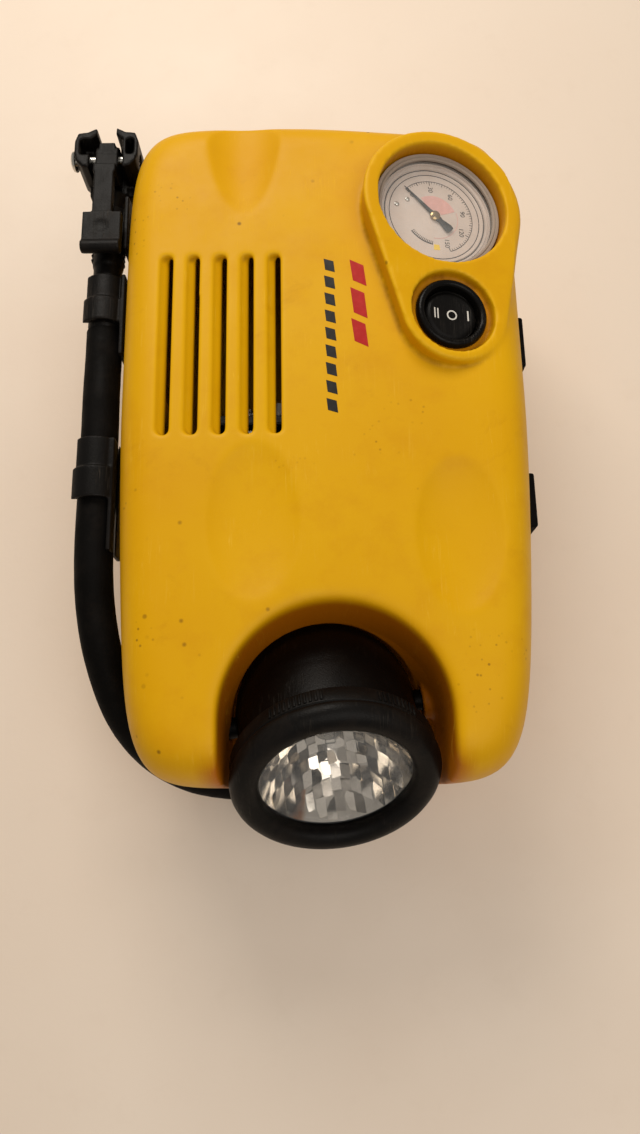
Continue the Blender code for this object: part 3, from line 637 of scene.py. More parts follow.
def pale_floor():
    n = Nodes("floor")
    colour = n.mix(n.ramp(n.noise(5.0, 5.0), 0.3, 0.7), rgb(232, 217, 200), rgb(227, 210, 192))
    colour = n.mix(n.ramp(n.noise(60.0, 6.0, 0.7), 0.55, 0.8, 0.0, 0.2), colour, rgb(214, 196, 177))
    n.height(n.noise(400.0, 4.0), 0.08, 0.0006)
    return n.surface(colour, n.ramp(n.noise(20.0, 4.0), 0.3, 0.7, 0.5, 0.62))


YELLOW = yellow_plastic()
BLACK = black_plastic("black_plastic", 10, 0.34, 0.5)
BLACK_DEEP = black_plastic("black_satin", 6, 0.32, 0.46, 2200.0, 0.1)
RUBBER = black_rubber()
BRIGHT = metal("bright_metal", (214, 212, 206), 0.16, 0.34)
STEEL = metal("motor_steel", (176, 176, 172), 0.3, 0.5)
# Dark grey cast alloy, darker than bare alloy: partly the metal's colour, partly painted shade for the parts
# deep inside the casing.
ALLOY = metal("cast_alloy", (92, 92, 92), 0.45, 0.66, (400, 400, 400))
ACETAL = printed("gear_plastic", (216, 212, 200))
DIAL = dial_paint()
INK = printed("dial_ink", (26, 24, 22))
INK_RED = printed("mark_red", (168, 18, 14))
INK_PINK = printed("dial_sector", (208, 158, 148))
INK_YELLOW = printed("dial_spot", (232, 196, 60))
NEEDLE = printed("needle_black", (50, 48, 46))
WHITE_INK = printed("switch_mark", (206, 202, 194))
GLASS = glass("clear_glass")
LAMP_GLASS = glass("lamp_glass")
MIRROR = mirror()
GREY = black_plastic("gauge_grey", 136, 0.22, 0.4, 1500.0, 0.1, 12)
GREY_GLOSS = black_plastic("gauge_silver", 160, 0.14, 0.28, 1500.0, 0.06, 12)
BLACK_GLOSS = black_plastic("black_gloss", 8, 0.2, 0.34, 900.0, 0.1)
BRASS = metal("hub_brass", (186, 160, 118), 0.2, 0.4)


# ---- casing

def signed_power(value, power):
    return copysign(abs(value) ** power, value)


def smooth(value):
    value = min(max(value, 0.0), 1.0)
    return value * value * (3 - 2 * value)


def plan_ring(inset, around):
    """The casing's outline seen from above, as in the CAD."""
    ring = []
    for k in range(around):
        turn = 2 * pi * (k + 0.5) / around
        reach = (abs(cos(turn)) ** PLAN_POWER + abs(sin(turn)) ** PLAN_POWER) ** (-1 / PLAN_POWER)
        y = BODY_MID_Y + (BODY_HALF_L - inset) * reach * sin(turn)
        front = max(0.0, (TAPER_FROM - y) / (TAPER_FROM + BODY_HALF_L)) ** 1.6
        x = (BODY_HALF_W - TAPER_WIDTH * front - inset) * reach * cos(turn) - TAPER_SHIFT * front
        if y > 0:
            y -= REAR_SKEW * smooth((x + 15) / 75) * (y / BODY_HALF_L) ** 4
        ring.append((x, y))
    return ring


def casing_form(shrink, around=240, levels=44):
    half_h = BODY_HALF_H - shrink

    def build(bm):
        rings = []
        for level in range(levels + 1):
            lift = -pi / 2 + pi * level / levels
            z = BODY_MID_Z + half_h * signed_power(sin(lift), 2 / EDGE_POWER)
            inset = shrink + EDGE_INSET * (1 - abs(cos(lift)) ** (2 / EDGE_POWER))
            rings.append([bm.verts.new((x, y, z)) for x, y in plan_ring(inset, around)])
        for low, high in zip(rings, rings[1:]):
            for k in range(around):
                after = (k + 1) % around
                bm.faces.new((low[k], low[after], high[after], high[k]))
        bm.faces.new(rings[0])
        bm.faces.new(rings[-1])

    return mesh_of(build)


def pod_plane(x):
    return POD_Z - (x - POD_X) * tan(POD_TILT)


def pod_form(shrink, around=96):
    points = []
    for cx, cy, radius in POD_CIRCLES:
        for k in range(around):
            turn = 2 * pi * k / around
            for inward, drop in ((0.9, 0.0), (0.3, 0.3), (0.0, 1.0)):
                r = radius - shrink - inward
                x, y = cx + r * cos(turn), cy + r * sin(turn)
                points.append((x, y, pod_plane(x) - shrink - drop))
            points.append((cx + (radius - shrink) * cos(turn), cy + (radius - shrink) * sin(turn),
                           POD_FOOT_Z + 3 * shrink))
    return hull(points)


def bay_form(grow):
    """The lamp bay and the round seat of the lamp's ball."""
    points = []
    radius = BAY_HALF_W + grow
    for z, back_y in BAY_BACK:
        z = z if z > BODY_MID_Z else z - grow
        for k in range(65):
            turn = pi * k / 64
            points.append((BAY_X + radius * cos(turn), back_y - BAY_HALF_W + radius * sin(turn), z))
        points.append((BAY_X - radius, -140, z))
        points.append((BAY_X + radius, -140, z))
    return hull(points), ellipsoid(LAMP_PIVOT, (BAY_SEAT_R + grow,) * 3, 96)


def thumb_form(grow):
    return ellipsoid((*THUMB_PLACE, TOP + THUMB_LIFT), [half + grow for half in THUMB_HALF], 96)


def dimple_forms(grow):
    return [ellipsoid((*place, TOP + DIMPLE_LIFT), [half + grow for half in halves], 96)
            for place, halves in DIMPLES]


def slot_left(number):
    return SLOT_FIRST + SLOT_PITCH * number


def slot_form(number):
    """One cooling slot with round ends and a left wall that leans inward."""
    left = slot_left(number)
    right = left + SLOT_W
    made = []
    slope = ((TOP + 1, left - 0.8), (TOP - 0.8, left - 0.8), (TOP - 2.8, left + 1.8))
    for spans in (slope, ((TOP - 2, left + 1.7), (TOP - 7, left + 1.8))):
        points = []
        for z, low in spans:
            radius = (right - low) / 2
            for k in range(24):
                turn = 2 * pi * k / 24
                y = SLOT_HIGH - radius if sin(turn) > 0 else SLOT_LOW + radius
                points.append(((low + right) / 2 + radius * cos(turn), y + radius * sin(turn), z))
        made.append(hull(points))
    return made


def hinge(distance):
    return LAMP_PIVOT + Vector((cos(LAMP_YAW), sin(LAMP_YAW), 0)) * distance


def pod_matrix(x, y, h=0.0):
    turned_frame = Matrix.Translation((POD_X, 0, POD_Z)) @ Matrix.Rotation(POD_TILT, 4, "Y")
    return turned_frame @ Matrix.Translation((x, y, h))


def on_pod(x, y, h):
    return pod_matrix(x, y, h) @ Vector((0, 0, 0))


def hose_path(per_span):
    return smooth_route(HOSE_ROUTE, per_span)


def shell_softness(points):
    """How much each point of the upper half may be rounded: wide at the bay, the pod and the dimples."""
    x, y, z = points.T
    soft = np.zeros(len(points))
    across = np.hypot(x - BAY_X, np.maximum(y - (BAY_BACK[0][1] - BAY_HALF_W), 0))
    lip = np.exp(-((across - BAY_HALF_W - 1.5) / 5.0) ** 2) * np.clip((z - 70) / 10, 0, 1)
    soft = np.maximum(soft, lip * (0.5 + 0.5 * np.clip((x - BAY_X + 24) / 14, 0, 1)))
    for cx, cy, radius in POD_CIRCLES:
        away = np.hypot(x - cx, y - cy) - radius
        skirt = np.exp(-((away - 0.5) / 4.5) ** 2) * (z > 76)
        inside = np.minimum.reduce([np.hypot(x - px, y - py) - pr for px, py, pr in POD_CIRCLES]) < -3.5
        soft = np.maximum(soft, np.where(inside, 0, 0.5 * skirt * (z < 86)))
    for (cx, cy), (half_x, half_y), most in SOFT_RIMS:
        away = np.hypot((x - cx) / half_x, (y - cy) / half_y)
        soft = np.maximum(soft, most * np.exp(-((away - 1.0) / 0.35) ** 2) * (z > 72))
    slots = (x > -53) & (x < -10) & (y > -8) & (y < 58)
    bores = np.hypot(x - POD_X - GAUGE_X, y - GAUGE_Y) < 23.5
    switch = np.hypot(x - POD_X - SWITCH_X, y - SWITCH_Y) < 15.0
    return np.where(slots | bores | switch, 0.0, np.clip(soft, 0, 1))


def mark_shade(mesh):
    """How far each point lies inside the lamp bay or a recess of the pod, where the yellow is painted
    orange-brown as shade.
    """
    x, y, z = points_of(mesh).T
    across = np.hypot(x - BAY_X, np.maximum(y - (BAY_BACK[0][1] - BAY_HALF_W), 0))
    # Painted shade: strongest deep in the bay, and below the pod's top in the gauge and switch recesses.
    shade = np.clip((BAY_HALF_W + 7 - across) / 6, 0, 1) * np.clip((TOP - 0.3 - z) / 5, 0, 1)
    depth = pod_plane(x) - z
    for px, py, radius in ((GAUGE_X, GAUGE_Y, 22.9), (SWITCH_X, SWITCH_Y, 14.6)):
        inside = np.hypot((x - on_pod(px, py, 0).x) / cos(POD_TILT), y - py) < radius
        shade = np.maximum(shade, inside * np.clip((depth - 0.6) / 5, 0, 0.7))
    return store(mesh, "shade", shade)


def pod_rod(x, y, bottom, radius, steps, top=10):
    """A cutter square to the pod's top, from above it down to the given depth."""
    return rod(on_pod(x, y, top), on_pod(x, y, bottom), radius, steps)


def casing(upper):
    """One half of the casing: the outer form less its hollow and everything that is let into it."""
    hollow_tools = [*bay_form(WALL), tube(hose_path(3), HOSE_R + CHANNEL_GAP + WALL, 24)]
    shell, hollow = casing_form(0), casing_form(WALL, 120, 24)
    if upper:
        shell = join(shell, pod_form(0))
        hollow = join(hollow, pod_form(WALL, 48))
        hollow_tools += [thumb_form(WALL), *dimple_forms(WALL),
                         pod_rod(GAUGE_X, GAUGE_Y, -7.8, GAUGE_COLLAR_R, 96),
                         pod_rod(SWITCH_X, SWITCH_Y, -5.8, SWITCH_COLLAR_R, 72)]
        for left in map(slot_left, range(SLOT_COUNT)):
            hollow_tools.append(block((left - 1.8, SLOT_LOW - 2.1, TOP - 5.5),
                                      (left + 1.8, SLOT_HIGH + 2.1, TOP + 2)))
    else:
        hollow_tools.append(block((-18.1, -140, -10), (9.1, -94.9, 22.1)))
    hollow_tools += [rod((x, y, -5), (x, y, 100), 4.4, 16) for x, y in SCREW_PLACES]
    hollow = cut(hollow, *hollow_tools)
    tools = [hollow, *bay_form(0), tube(hose_path(3), HOSE_R + CHANNEL_GAP, 40)]
    if upper:
        tools += [thumb_form(0), *dimple_forms(0)]
        for number in range(SLOT_COUNT):
            tools += slot_form(number)
        tools += [pod_rod(GAUGE_X, GAUGE_Y, -16, GAUGE_BORE_R, 128),
                  pod_rod(SWITCH_X, SWITCH_Y, -3.4, SWITCH_RECESS_R, 96, 5),
                  pod_rod(SWITCH_X, SWITCH_Y, -12, SWITCH_BORE_R, 72, 5)]
        low, high = BODY_MID_Z - 120, BODY_MID_Z + SEAM_GAP / 2
    else:
        tools += [block((-15.5, -140, -10), (6.5, -97.5, 19.5)), rod((-4, -120, 11.3), (-4, -84, 11.3), 5.4),
                  rod((20, 100, 22), (20, 125, 22), 4.6)]
        tools += [rod((x, y, -5), (x, y, 30), 3.5, 32) for x, y in SCREW_PLACES]
        low, high = BODY_MID_Z - SEAM_GAP / 2, BODY_MID_Z + 120
    tools.append(block((-120, -160, low), (120, 160, high)))
    shell = cut(shell, *tools)
    if upper:
        shell = join(shell, rod(hinge(30.9), hinge(38.6), 6.4))
        shell = cut(shell, rod(hinge(-48), hinge(-26), 3.7), rod(hinge(28), hinge(60), 3.7))
    shell = moulded(shell, VOXEL_SHELL, 5)
    if upper:
        shell = relaxed(shell, 80, shell_softness)
    shell = thinned(mark_shade(mark_edges(shell)), SHELL_FACES)
    half = "upper" if upper else "lower"
    piece(f"casing_{half}", shell, "root", "yellow_shell", YELLOW, f"{half}_shell", smooth=60)


# ---- lamp head

def lamp_matrix():
    """Stands a turned piece in the lamp head: its axis is the beam, its origin the pivot."""
    forward = Vector((sin(LAMP_YAW) * cos(LAMP_TILT), -cos(LAMP_YAW) * cos(LAMP_TILT), sin(LAMP_TILT)))
    side = Vector((cos(LAMP_YAW), sin(LAMP_YAW), 0))
    turn = Matrix((side, forward.cross(side), forward)).transposed().to_4x4()
    return Matrix.Translation(LAMP_PIVOT) @ turn


def arc(radius, start, end, steps, centre=(0.0, 0.0)):
    """Points (r, h) on a circle, between two angles in degrees from the axis."""
    angles = [radians(start + (end - start) * k / steps) for k in range(steps + 1)]
    return [(centre[0] + radius * sin(a), centre[1] + radius * cos(a)) for a in angles]


def make_lamp_housing():
    outside = [(28.4, 18.2), (28.6, 17.6), *arc(LAMP_R, 80, 180, 40)]
    inside = [*arc(LAMP_R - 2.2, 180, 82, 24), (26.2, 18.4)]
    outside[-1], inside[0] = (0, -LAMP_R), (0, -LAMP_R + 2.2)
    ball = turned([*inside, *outside], 128, lamp_matrix())
    ball = cut(ball, rod(hinge(-40), hinge(-24.5), 3.7), rod(hinge(24.5), hinge(40), 3.7))
    piece("lamp_ball", rounded(ball, 0.25, 2), "lamp_head", "black_plastic", BLACK_DEEP, "lamp_housing",
          smooth=50)


def make_bezel():
    """The front ring: a straight band with patches of grip ribs, a groove, and a bulging lip."""
    profile = [(23.3, 25.5), (23.3, 27.6), (23.7, 28.8), (24.6, 29.7), (25.8, 30.2), (27.4, 30.4),
               (28.9, 30.1), (30.2, 29.4), (31.2, 28.3), (31.8, 27.0), (31.95, 25.8), (31.8, 24.9),
               (31.25, 24.5), (31.2, 24.1), (31.5, 23.9), (31.55, 19.4), (31.2, 18.9), (24.9, 18.8),
               (24.9, 25.5)]
    ribs = []
    for start, count in ((38, 9), (92, 11), (224, 11), (293, 9)):
        for k in range(count):
            turn = Matrix.Rotation(radians(start + 2.9 * k), 4, "Z")
            ribs.append(moved(block((30.9, -0.42, 19.6), (31.98, 0.42, 23.5), 0.25, 2), turn))
    body = join(turned(profile, 160), *ribs)
    piece("lamp_ring", moved(rounded(body, 0.15, 2, 50), lamp_matrix()), "lamp_head", "black_plastic", BLACK,
          "lamp_bezel", smooth=45)


def make_lamp_glass():
    dome = arc(120, 0, 11.1, 14, (0, -93.7))
    profile = [*dome, (24.5, 24.0), (24.2, 23.9), *[(r, h - 1.6) for r, h in dome[::-1]]]
    profile[-1] = (0, profile[-1][1])
    profile[0] = (0, profile[0][1])
    glass_mesh = turned(profile, 96, lamp_matrix())
    piece("lamp_window", glass_mesh, "lamp_head", "clear_glass", LAMP_GLASS, "lamp_lens", smooth=50)


def bowl_height(r):
    return BOWL_FLOOR + BOWL_DEPTH * ((r - BOWL_LOW_R) / BOWL_SPAN) ** 2


def make_reflector():
    """A metallised bowl tiled with small flat mirrors that each lean their own way."""
    steps = 20
    reach = [BOWL_LOW_R + BOWL_SPAN * k / steps for k in range(steps + 1)]
    bowl = [(r, bowl_height(r)) for r in reach]
    back = [(r + 0.1, h - 1.1) for r, h in bowl]
    back[-1] = (24.3, 22.4)
    base = turned([*bowl[::-1], *back], 96)
    chance = random.Random(11)
    cell = 3.1

    def tiles(bm):
        for i in range(-8, 9):
            for j in range(-8, 9):
                shear = 0.25 * chance.uniform(-1, 1)
                cx, cy = (i + 0.15 * (j % 2)) * cell, (j + shear) * cell
                r = hypot(cx, cy)
                if not 6.6 < r < 22.3:
                    continue
                slope = 2 * BOWL_DEPTH * (r - BOWL_LOW_R) / BOWL_SPAN ** 2
                lean_x = slope * cx / r + tan(radians(chance.gauss(0, 10)))
                lean_y = slope * cy / r + tan(radians(chance.gauss(0, 10)))
                half = cell * 0.485
                lift = bowl_height(r) + 0.45
                rim = []
                for sx, sy in ((-1, -1), (1, -1), (1, 1), (-1, 1)):
                    x, y = cx + sx * half, cy + sy * half
                    rim.append((x, y, lift + (x - cx) * lean_x + (y - cy) * lean_y))
                top = [bm.verts.new(point) for point in rim]
                low = [bm.verts.new((x, y, h - 0.9)) for x, y, h in rim]
                bm.faces.new(top)
                bm.faces.new(low[::-1])
                for k in range(4):
                    bm.faces.new((top[k], low[k], low[(k + 1) % 4], top[(k + 1) % 4]))

    tile_mesh = mesh_of(tiles)
    count = len(tile_mesh.vertices) // 8
    both = merged([base, tile_mesh])
    # Painted reflection: every tile gets a random brightness, which the reflector material turns into a bright
    # or dark mirror.
    tone = np.full(len(both.vertices), 0.5)
    tone[-8 * count:] = np.repeat([chance.random() for _ in range(count)], 8)
    both = moved(store(both, "tone", tone), lamp_matrix())
    piece("lamp_mirror", both, "lamp_head", "reflector", MIRROR, "lamp_reflector", smooth=12)


def make_bulb():
    capsule = [(0, 15.5), (1.2, 15.3), (2.3, 14.5), (2.95, 13.2), (3.1, 11.6), (2.9, 10.2), (2.4, 9.2),
               (2.2, 8.2), (2.2, 7.2), (0, 7.2)]
    cap = [(0, 7.1), (4.4, 7.1), (4.6, 6.8), (4.6, 4.2), (4.2, 3.8), (4.6, 3.4), (4.6, -5.8), (4.4, -6.0),
           (0, -6.0)]
    place = lamp_matrix()
    glass_mesh = turned(capsule, 48)
    piece("lamp_capsule", moved(glass_mesh, place), "lamp_head", "clear_glass", LAMP_GLASS, "lamp_bulb",
          smooth=50)
    piece("lamp_cap", moved(turned(cap, 64), place), "lamp_head", "bright_metal", BRIGHT)
    coil = [Vector((1.5 * (k / 60 - 0.5) * 2, 0.25 * cos(k * 0.9), 12.3 + 0.25 * sin(k * 0.9)))
            for k in range(61)]
    legs = [tube([Vector((x, 0, h)) for h in (7.3, 9.8, 12.3)], 0.12, 10) for x in (-1.5, 1.5)]
    wire = merged([tube(coil, 0.09, 8), *legs])
    piece("lamp_filament", moved(wire, place), "lamp_head", "bright_metal", STEEL)


def make_pivots():
    for side, inner, tail in (("left", -25.2, -39.0), ("right", 25.2, 44.5)):
        way = hinge(tail) - hinge(inner)
        span = way.length
        profile = [(0, span), (5.1, span), (5.4, span - 0.3), (5.4, span - 1.6), (3.4, span - 1.6),
                   (3.4, 0.3), (3.1, 0), (0, 0)]
        mesh = turned(profile, 48, along(way, hinge(inner)))
        piece(f"pivot_{side}", mesh, "root", "black_plastic", BLACK, f"lamp_pivot_{side}")


# ---- gauge

def ring_sector(inner, outer, start, end, height, steps=None):
    """A flat arc band between two angles in degrees."""
    steps = steps or max(2, int(abs(end - start) / 2.5))
    angles = [radians(start + (end - start) * k / steps) for k in range(steps + 1)]
    out = [(outer * cos(a), outer * sin(a)) for a in angles]
    out += [(inner * cos(a), inner * sin(a)) for a in angles[::-1]]
    return outline(out, height, height + INK_THICK)


def digits(text, size, place):
    """Plain generic figures as a thin mesh."""
    curve = bpy.data.curves.new("digits", "FONT")
    curve.body = text
    curve.size = size
    curve.align_x = "CENTER"
    curve.align_y = "CENTER"
    curve.extrude = 0.02
    mesh = baked(added("digits", curve))
    bpy.data.curves.remove(curve)
    return moved(mesh, place)


SCALE_START, SCALE_END = 136.7, -68.0
DIAL_H = -8.4


def make_gauge():
    place = pod_matrix(GAUGE_X, GAUGE_Y)
    cup = [(0, -23.5), (19.8, -23.5), (19.8, -7.4), (20.0, -7.2), (21.4, -7.2), (21.6, -7.4), (21.6, -25.1),
           (21.2, -25.5), (0, -25.5)]
    piece("gauge_cup", turned(cup, 128, place), "root", "black_plastic", GREY, "gauge_case")
    trim = [(19.4, -5.2), (19.6, -5.0), (20.1, -5.0), (20.35, -5.35), (20.6, -5.0), (21.4, -5.0),
            (21.6, -5.2), (21.6, -5.9), (19.4, -5.9)]
    piece("gauge_trim", turned(trim, 128, place), "root", "bright_metal", GREY_GLOSS, "gauge_ring")
    dome = arc(400, 0, 3.06, 12, (0, -406.25))
    lens = [*dome, (21.3, -6.9), (0, -6.9)]
    lens[0] = (0, lens[0][1])
    piece("gauge_window", turned(lens, 96, place), "root", "clear_glass", GLASS, "gauge_lens", smooth=50)
    dial = [(0, DIAL_H), (16.2, DIAL_H), (16.5, DIAL_H + 0.35), (17.1, DIAL_H + 0.4), (17.3, DIAL_H + 0.15),
            (17.7, DIAL_H + 0.15), (17.9, DIAL_H + 0.7), (18.5, DIAL_H + 0.75), (18.7, DIAL_H + 0.5),
            (19.0, DIAL_H + 0.5), (19.2, DIAL_H + 1.1), (19.5, DIAL_H + 1.15), (19.5, -9.4), (0, -9.4)]
    piece("dial_plate", turned(dial, 128, place), "root", "dial_face", DIAL, "gauge_dial", smooth=30)
    top = DIAL_H + 0.01
    ink = [ring_sector(13.3, 13.5, SCALE_START, SCALE_END, top), ring_sector(10.5, 10.85, -142, -96, top),
           ring_sector(15.7, 15.95, 0, 359.5, top), ring_sector(17.35, 17.65, 0, 359.5, DIAL_H + 0.16)]
    for k in range(51):
        turn = SCALE_START + (SCALE_END - SCALE_START) * k / 50
        inner = 11.9 if k % 10 == 0 else 12.3 if k % 5 == 0 else 12.6
        half = 0.5 if k % 5 == 0 else 0.28
        ink.append(ring_sector(inner, 13.3, turn - half, turn + half, top, steps=1))
    for k in range(14):
        turn = -141 + 44 * k / 13
        ink.append(ring_sector(9.5, 10.5, turn - 0.6, turn + 0.6, top, steps=1))
    for k in range(6):
        turn = radians(SCALE_START + (SCALE_END - SCALE_START) * k / 5)
        spot = Matrix.Translation((10.3 * cos(turn), 10.3 * sin(turn), top + 0.02))
        ink.append(digits(str(30 * k), 2.3, spot @ Matrix.Rotation(radians(-90), 4, "Z")))
    piece("dial_marks", moved(merged(ink), place), "root", "needle_black", INK, smooth=0)
    sector = ring_sector(2.6, 7.9, 124, 22, top)
    band = ring_sector(8.1, 8.3, 18, -95, top)
    piece("dial_sector", moved(merged([sector, band]), place), "root", "dial_face", INK_PINK, smooth=0)
    spot = moved(ring_sector(10.6, 12.6, -84, -94, top), place)
    piece("dial_spot", spot, "root", "dial_face", INK_YELLOW, smooth=0)
    heads = []
    for radius, turn in ((13.4, 168), (10.7, 151)):
        turn = radians(turn)
        spot = Matrix.Translation((radius * cos(turn), radius * sin(turn), DIAL_H))
        head = turned([(0, 0.55), (0.5, 0.48), (0.85, 0.2), (0.9, 0.0), (0, 0.0)], 24)
        heads.append(moved(cut(head, block((-1, -0.12, 0.3), (1, 0.12, 1))), spot))
    piece("dial_screws", moved(merged(heads), place), "root", "bright_metal", BRIGHT)
    make_needle(place)


def make_needle(place):
    turn = place @ Matrix.Rotation(atan2(32, -34), 4, "Z")
    blade = [(14.3, 0.0), (12.6, 0.22), (2.0, 0.62), (1.0, 1.1), (-1.6, 1.1), (-2.6, 0.8), (-6.0, 1.5),
             (-7.2, 1.3), (-7.4, 0.0)]
    blade += [(x, -y) for x, y in blade[-2:0:-1]]
    arm = rounded(outline(blade, -7.95, -7.55), 0.1, 2)
    piece("pointer", moved(arm, turn), "needle", "needle_black", NEEDLE, "gauge_needle")
    hub = turned([(0, -7.05), (0.5, -7.08), (1.4, -7.25), (1.7, -7.5), (1.7, -8.2), (0, -8.2)], 40)
    piece("pointer_hub", moved(hub, place), "needle", "bright_metal", BRASS)


# ---- switch

def rocker_height(x):
    """The rocker's saddle: level across, its two ends rising along X."""
    return 2.55 + 1.05 * min(abs(x) / 7.6, 1.0) ** 2.2


def make_switch():
    place = pod_matrix(SWITCH_X, SWITCH_Y)
    collar = [(0, -16.6), (9.2, -16.6), (9.2, -2.0), (9.5, -1.35), (10.0, -1.0), (10.6, -0.92), (11.2, -1.2),
              (11.6, -1.8), (11.8, -2.5), (11.8, -3.0), (10.2, -3.0), (10.2, -18.2), (0, -18.2)]
    piece("switch_collar", turned(collar, 96, place), "root", "black_plastic", BLACK_GLOSS, "switch_frame")
    side = arc(8.9, 66, 120, 12)
    top = [(7.9 * k / 10, 3.0) for k in range(11)]
    profile = [*top, (8.0, 3.55), *side, (0, side[-1][1])]
    profile[0] = (0, 3.0)
    rocker = turned(profile, 96)
    points = points_of(rocker)
    for point in points:
        if point[2] > 2.9:
            rim = 1.0 - max(0.0, hypot(point[0], point[1]) - 7.2) * 0.25
            point[2] = rocker_height(point[0]) * rim
    set_points(rocker, points)
    rest = place @ Matrix.Translation((0, 0, ROCKER_DEPTH))
    piece("rocker", moved(rounded(rocker, 0.2, 2), rest), "rocker", "black_plastic", BLACK, "switch_rocker",
          smooth=50)
    marks = [bar_on_rocker(-5.5), bar_on_rocker(-4.4), bar_on_rocker(5.6)]
    ring = ring_sector(1.25, 1.7, 0, 358, 0.0, steps=40)
    marks.append(moved(ring, Matrix.Translation((0.4, 0, rocker_height(0.4) + INK_LIFT))))
    piece("rocker_marks", moved(merged(marks), rest), "rocker", "dial_face", WHITE_INK, smooth=0)


def bar_on_rocker(x):
    """One printed stroke, lying on the rocker's saddle."""
    edges = (x - 0.22, x + 0.22)
    return hull([(px, py, rocker_height(px) + lift)
                 for lift in (INK_LIFT, INK_LIFT + INK_THICK) for px in edges for py in (-1.75, 1.75)])


# ---- hose, clips, chuck

def make_hose():
    path = hose_path(10)
    hose = tube(path, lambda gone: HOSE_R - 0.012 * sin(gone * 0.9), 56)
    piece("hose", hose, "root", "black_rubber", RUBBER, "air_hose", smooth=70)
    profile = [(0, 61.4), (5.4, 61.4), (5.7, 61.1), (5.7, 43.4), (5.5, 42.4), (5.1, 41.6), (0, 41.6)]
    place = along((0, 1, 0), (CHUCK_X, 0, CHUCK_Z))
    piece("ferrule", turned(profile, 72, place), "root", "black_plastic", BLACK, "hose_ferrule")
    elbow = rod((-11.7, -108, 11.3), (3, -108, 11.3), 7.4)
    elbow = join(elbow, rod((-4, -108, 11.3), (-4, -90, 11.3), 5.0))
    elbow = mark_edges(moulded(elbow, 0.4, 4))
    piece("hose_elbow", elbow, "root", "black_plastic", BLACK, "outlet_elbow", smooth=60)
    gland = [(0, 118.0), (3.8, 118.0), (4.2, 117.6), (4.5, 115.2), (4.2, 114.9), (4.6, 114.2), (4.3, 113.9),
             (5.0, 112.8), (6.2, 112.6), (6.6, 112.2), (6.6, 111.0), (4.2, 111.0), (4.2, 104), (0, 104)]
    gland = turned(gland, 64, along((0, 1, 0), (20, 0, 22)))
    piece("gland", gland, "root", "black_rubber", RUBBER, "cord_gland")


def clip_form(x, z, inner, y_low, y_high, base_low, base_high, mouth_x, mouth_half):
    """A C-shaped snap clip in two steps, open away from the casing, with its foot plate."""
    length = y_high - y_low
    ring = [(inner, length), (inner + 1.4, length), (inner + 1.4, length / 2), (inner + 2.1, length / 2),
            (inner + 2.1, 0), (inner, 0)]
    body = turned(ring, 72, along((0, 1, 0), (x, y_low, z)))
    body = join(body, block((CLIP_WALL_X - 1.5, base_low, z - 9), (CLIP_WALL_X, base_high, z + 6)),
                block((x + inner - 1, y_low, z - 3), (CLIP_WALL_X, y_high, z + 3)))
    tools = [block((CLIP_WALL_X, y_low - 60, z - 20), (-50, y_high + 60, z + 20)),
             block((x - 20, y_low - 1, z - mouth_half), (x + mouth_x, y_high + 1, z + mouth_half)),
             rod((x, y_low - 60, z), (x, y_high + 60, z), inner)]
    return mark_edges(moulded(cut(body, *tools), 0.33, 3))


def make_clips():
    for name, node, *form in (
            ("clip_front", "hose_clip_front", HOSE_X, HOSE_Z, HOSE_R + FIT, -21.2, -0.7, -38, -0.7, -3.5, 4.6),
            ("clip_rear", "hose_clip_rear", CHUCK_X, CHUCK_Z, 6.0, 43.0, 60.5, 31, 61, -3.5, 4.6),
            ("chuck_cradle", "chuck_holder", CHUCK_X, CHUCK_Z, 5.6, 76, 88, 71, 92, -1.0, 14)):
        piece(name, clip_form(*form), "root", "black_plastic", BLACK, node, smooth=60)


def chuck_block(half, low, high):
    """A block across the middle of the chuck, between two (y, z) corners."""
    return block((CHUCK_X - half, *low), (CHUCK_X + half, *high))


def make_chuck():
    barrel = [(0, 96), (5.3, 96), (5.3, 67), (4.9, 66), (4.9, 61.7), (0, 61.7)]
    body = turned(barrel, 72, along((0, 1, 0), (CHUCK_X, 0, CHUCK_Z)))
    grips = [chuck_block(5.6, (y, CHUCK_Z - 2.6), (y + 0.9, CHUCK_Z + 2.6)) for y in (68.6, 70.5, 72.4)]
    body = join(body, rod((CHUCK_X, 92, CHUCK_Z - 2), (CHUCK_X, 116.5, CHUCK_Z - 2), 6.2),
                chuck_block(8, (96.5, 58.5), (114.5, 66)), *grips)
    ear = ((5.8, 100.3), (8.4, 100.8), (10.4, 103), (11.2, 106), (11.2, 111), (10.0, 114.4), (6.8, 114.6),
           (3.4, 116.4), (3.2, 113.8), (5.7, 111.6))
    ears = [outline([(CHUCK_X + side * x, y) for x, y in ear], 61, 77) for side in (-1, 1)]
    hollows = [block((CHUCK_X + low, 105.6, 70.5), (CHUCK_X + high, 111.8, 90), 0.8)
               for low, high in ((-9.2, -5.2), (7.0, 9.6))]
    body = cut(join(body, *ears), chuck_block(5.7, (96.5, 66.6), (111.7, 100)),
               chuck_block(3.2, (111, 66.6), (130, 100)),
               rod((CHUCK_X, 104, CHUCK_Z - 2.6), (CHUCK_X, 125, CHUCK_Z - 2.6), 4.1),
               rod(CHUCK_PIN - Vector((20, 0, 0)), CHUCK_PIN + Vector((20, 0, 0)), 1.9), *hollows)
    body = mark_edges(moulded(body, 0.36, 5))
    piece("chuck_head", body, "root", "black_plastic", BLACK_DEEP, "chuck_body", smooth=60)
    pin = [(0, 23.8), (1.4, 23.8), (1.6, 23.6), (1.6, 1.9), (3.4, 1.9), (3.6, 1.6), (3.3, 0.8), (2.3, 0.25),
           (0, 0)]
    mesh = turned(pin, 56, along((1, 0, 0), CHUCK_PIN - Vector((13.4, 0, 0))))
    piece("chuck_rivet", mesh, "root", "bright_metal", BRIGHT, "chuck_pin")
    make_lever()


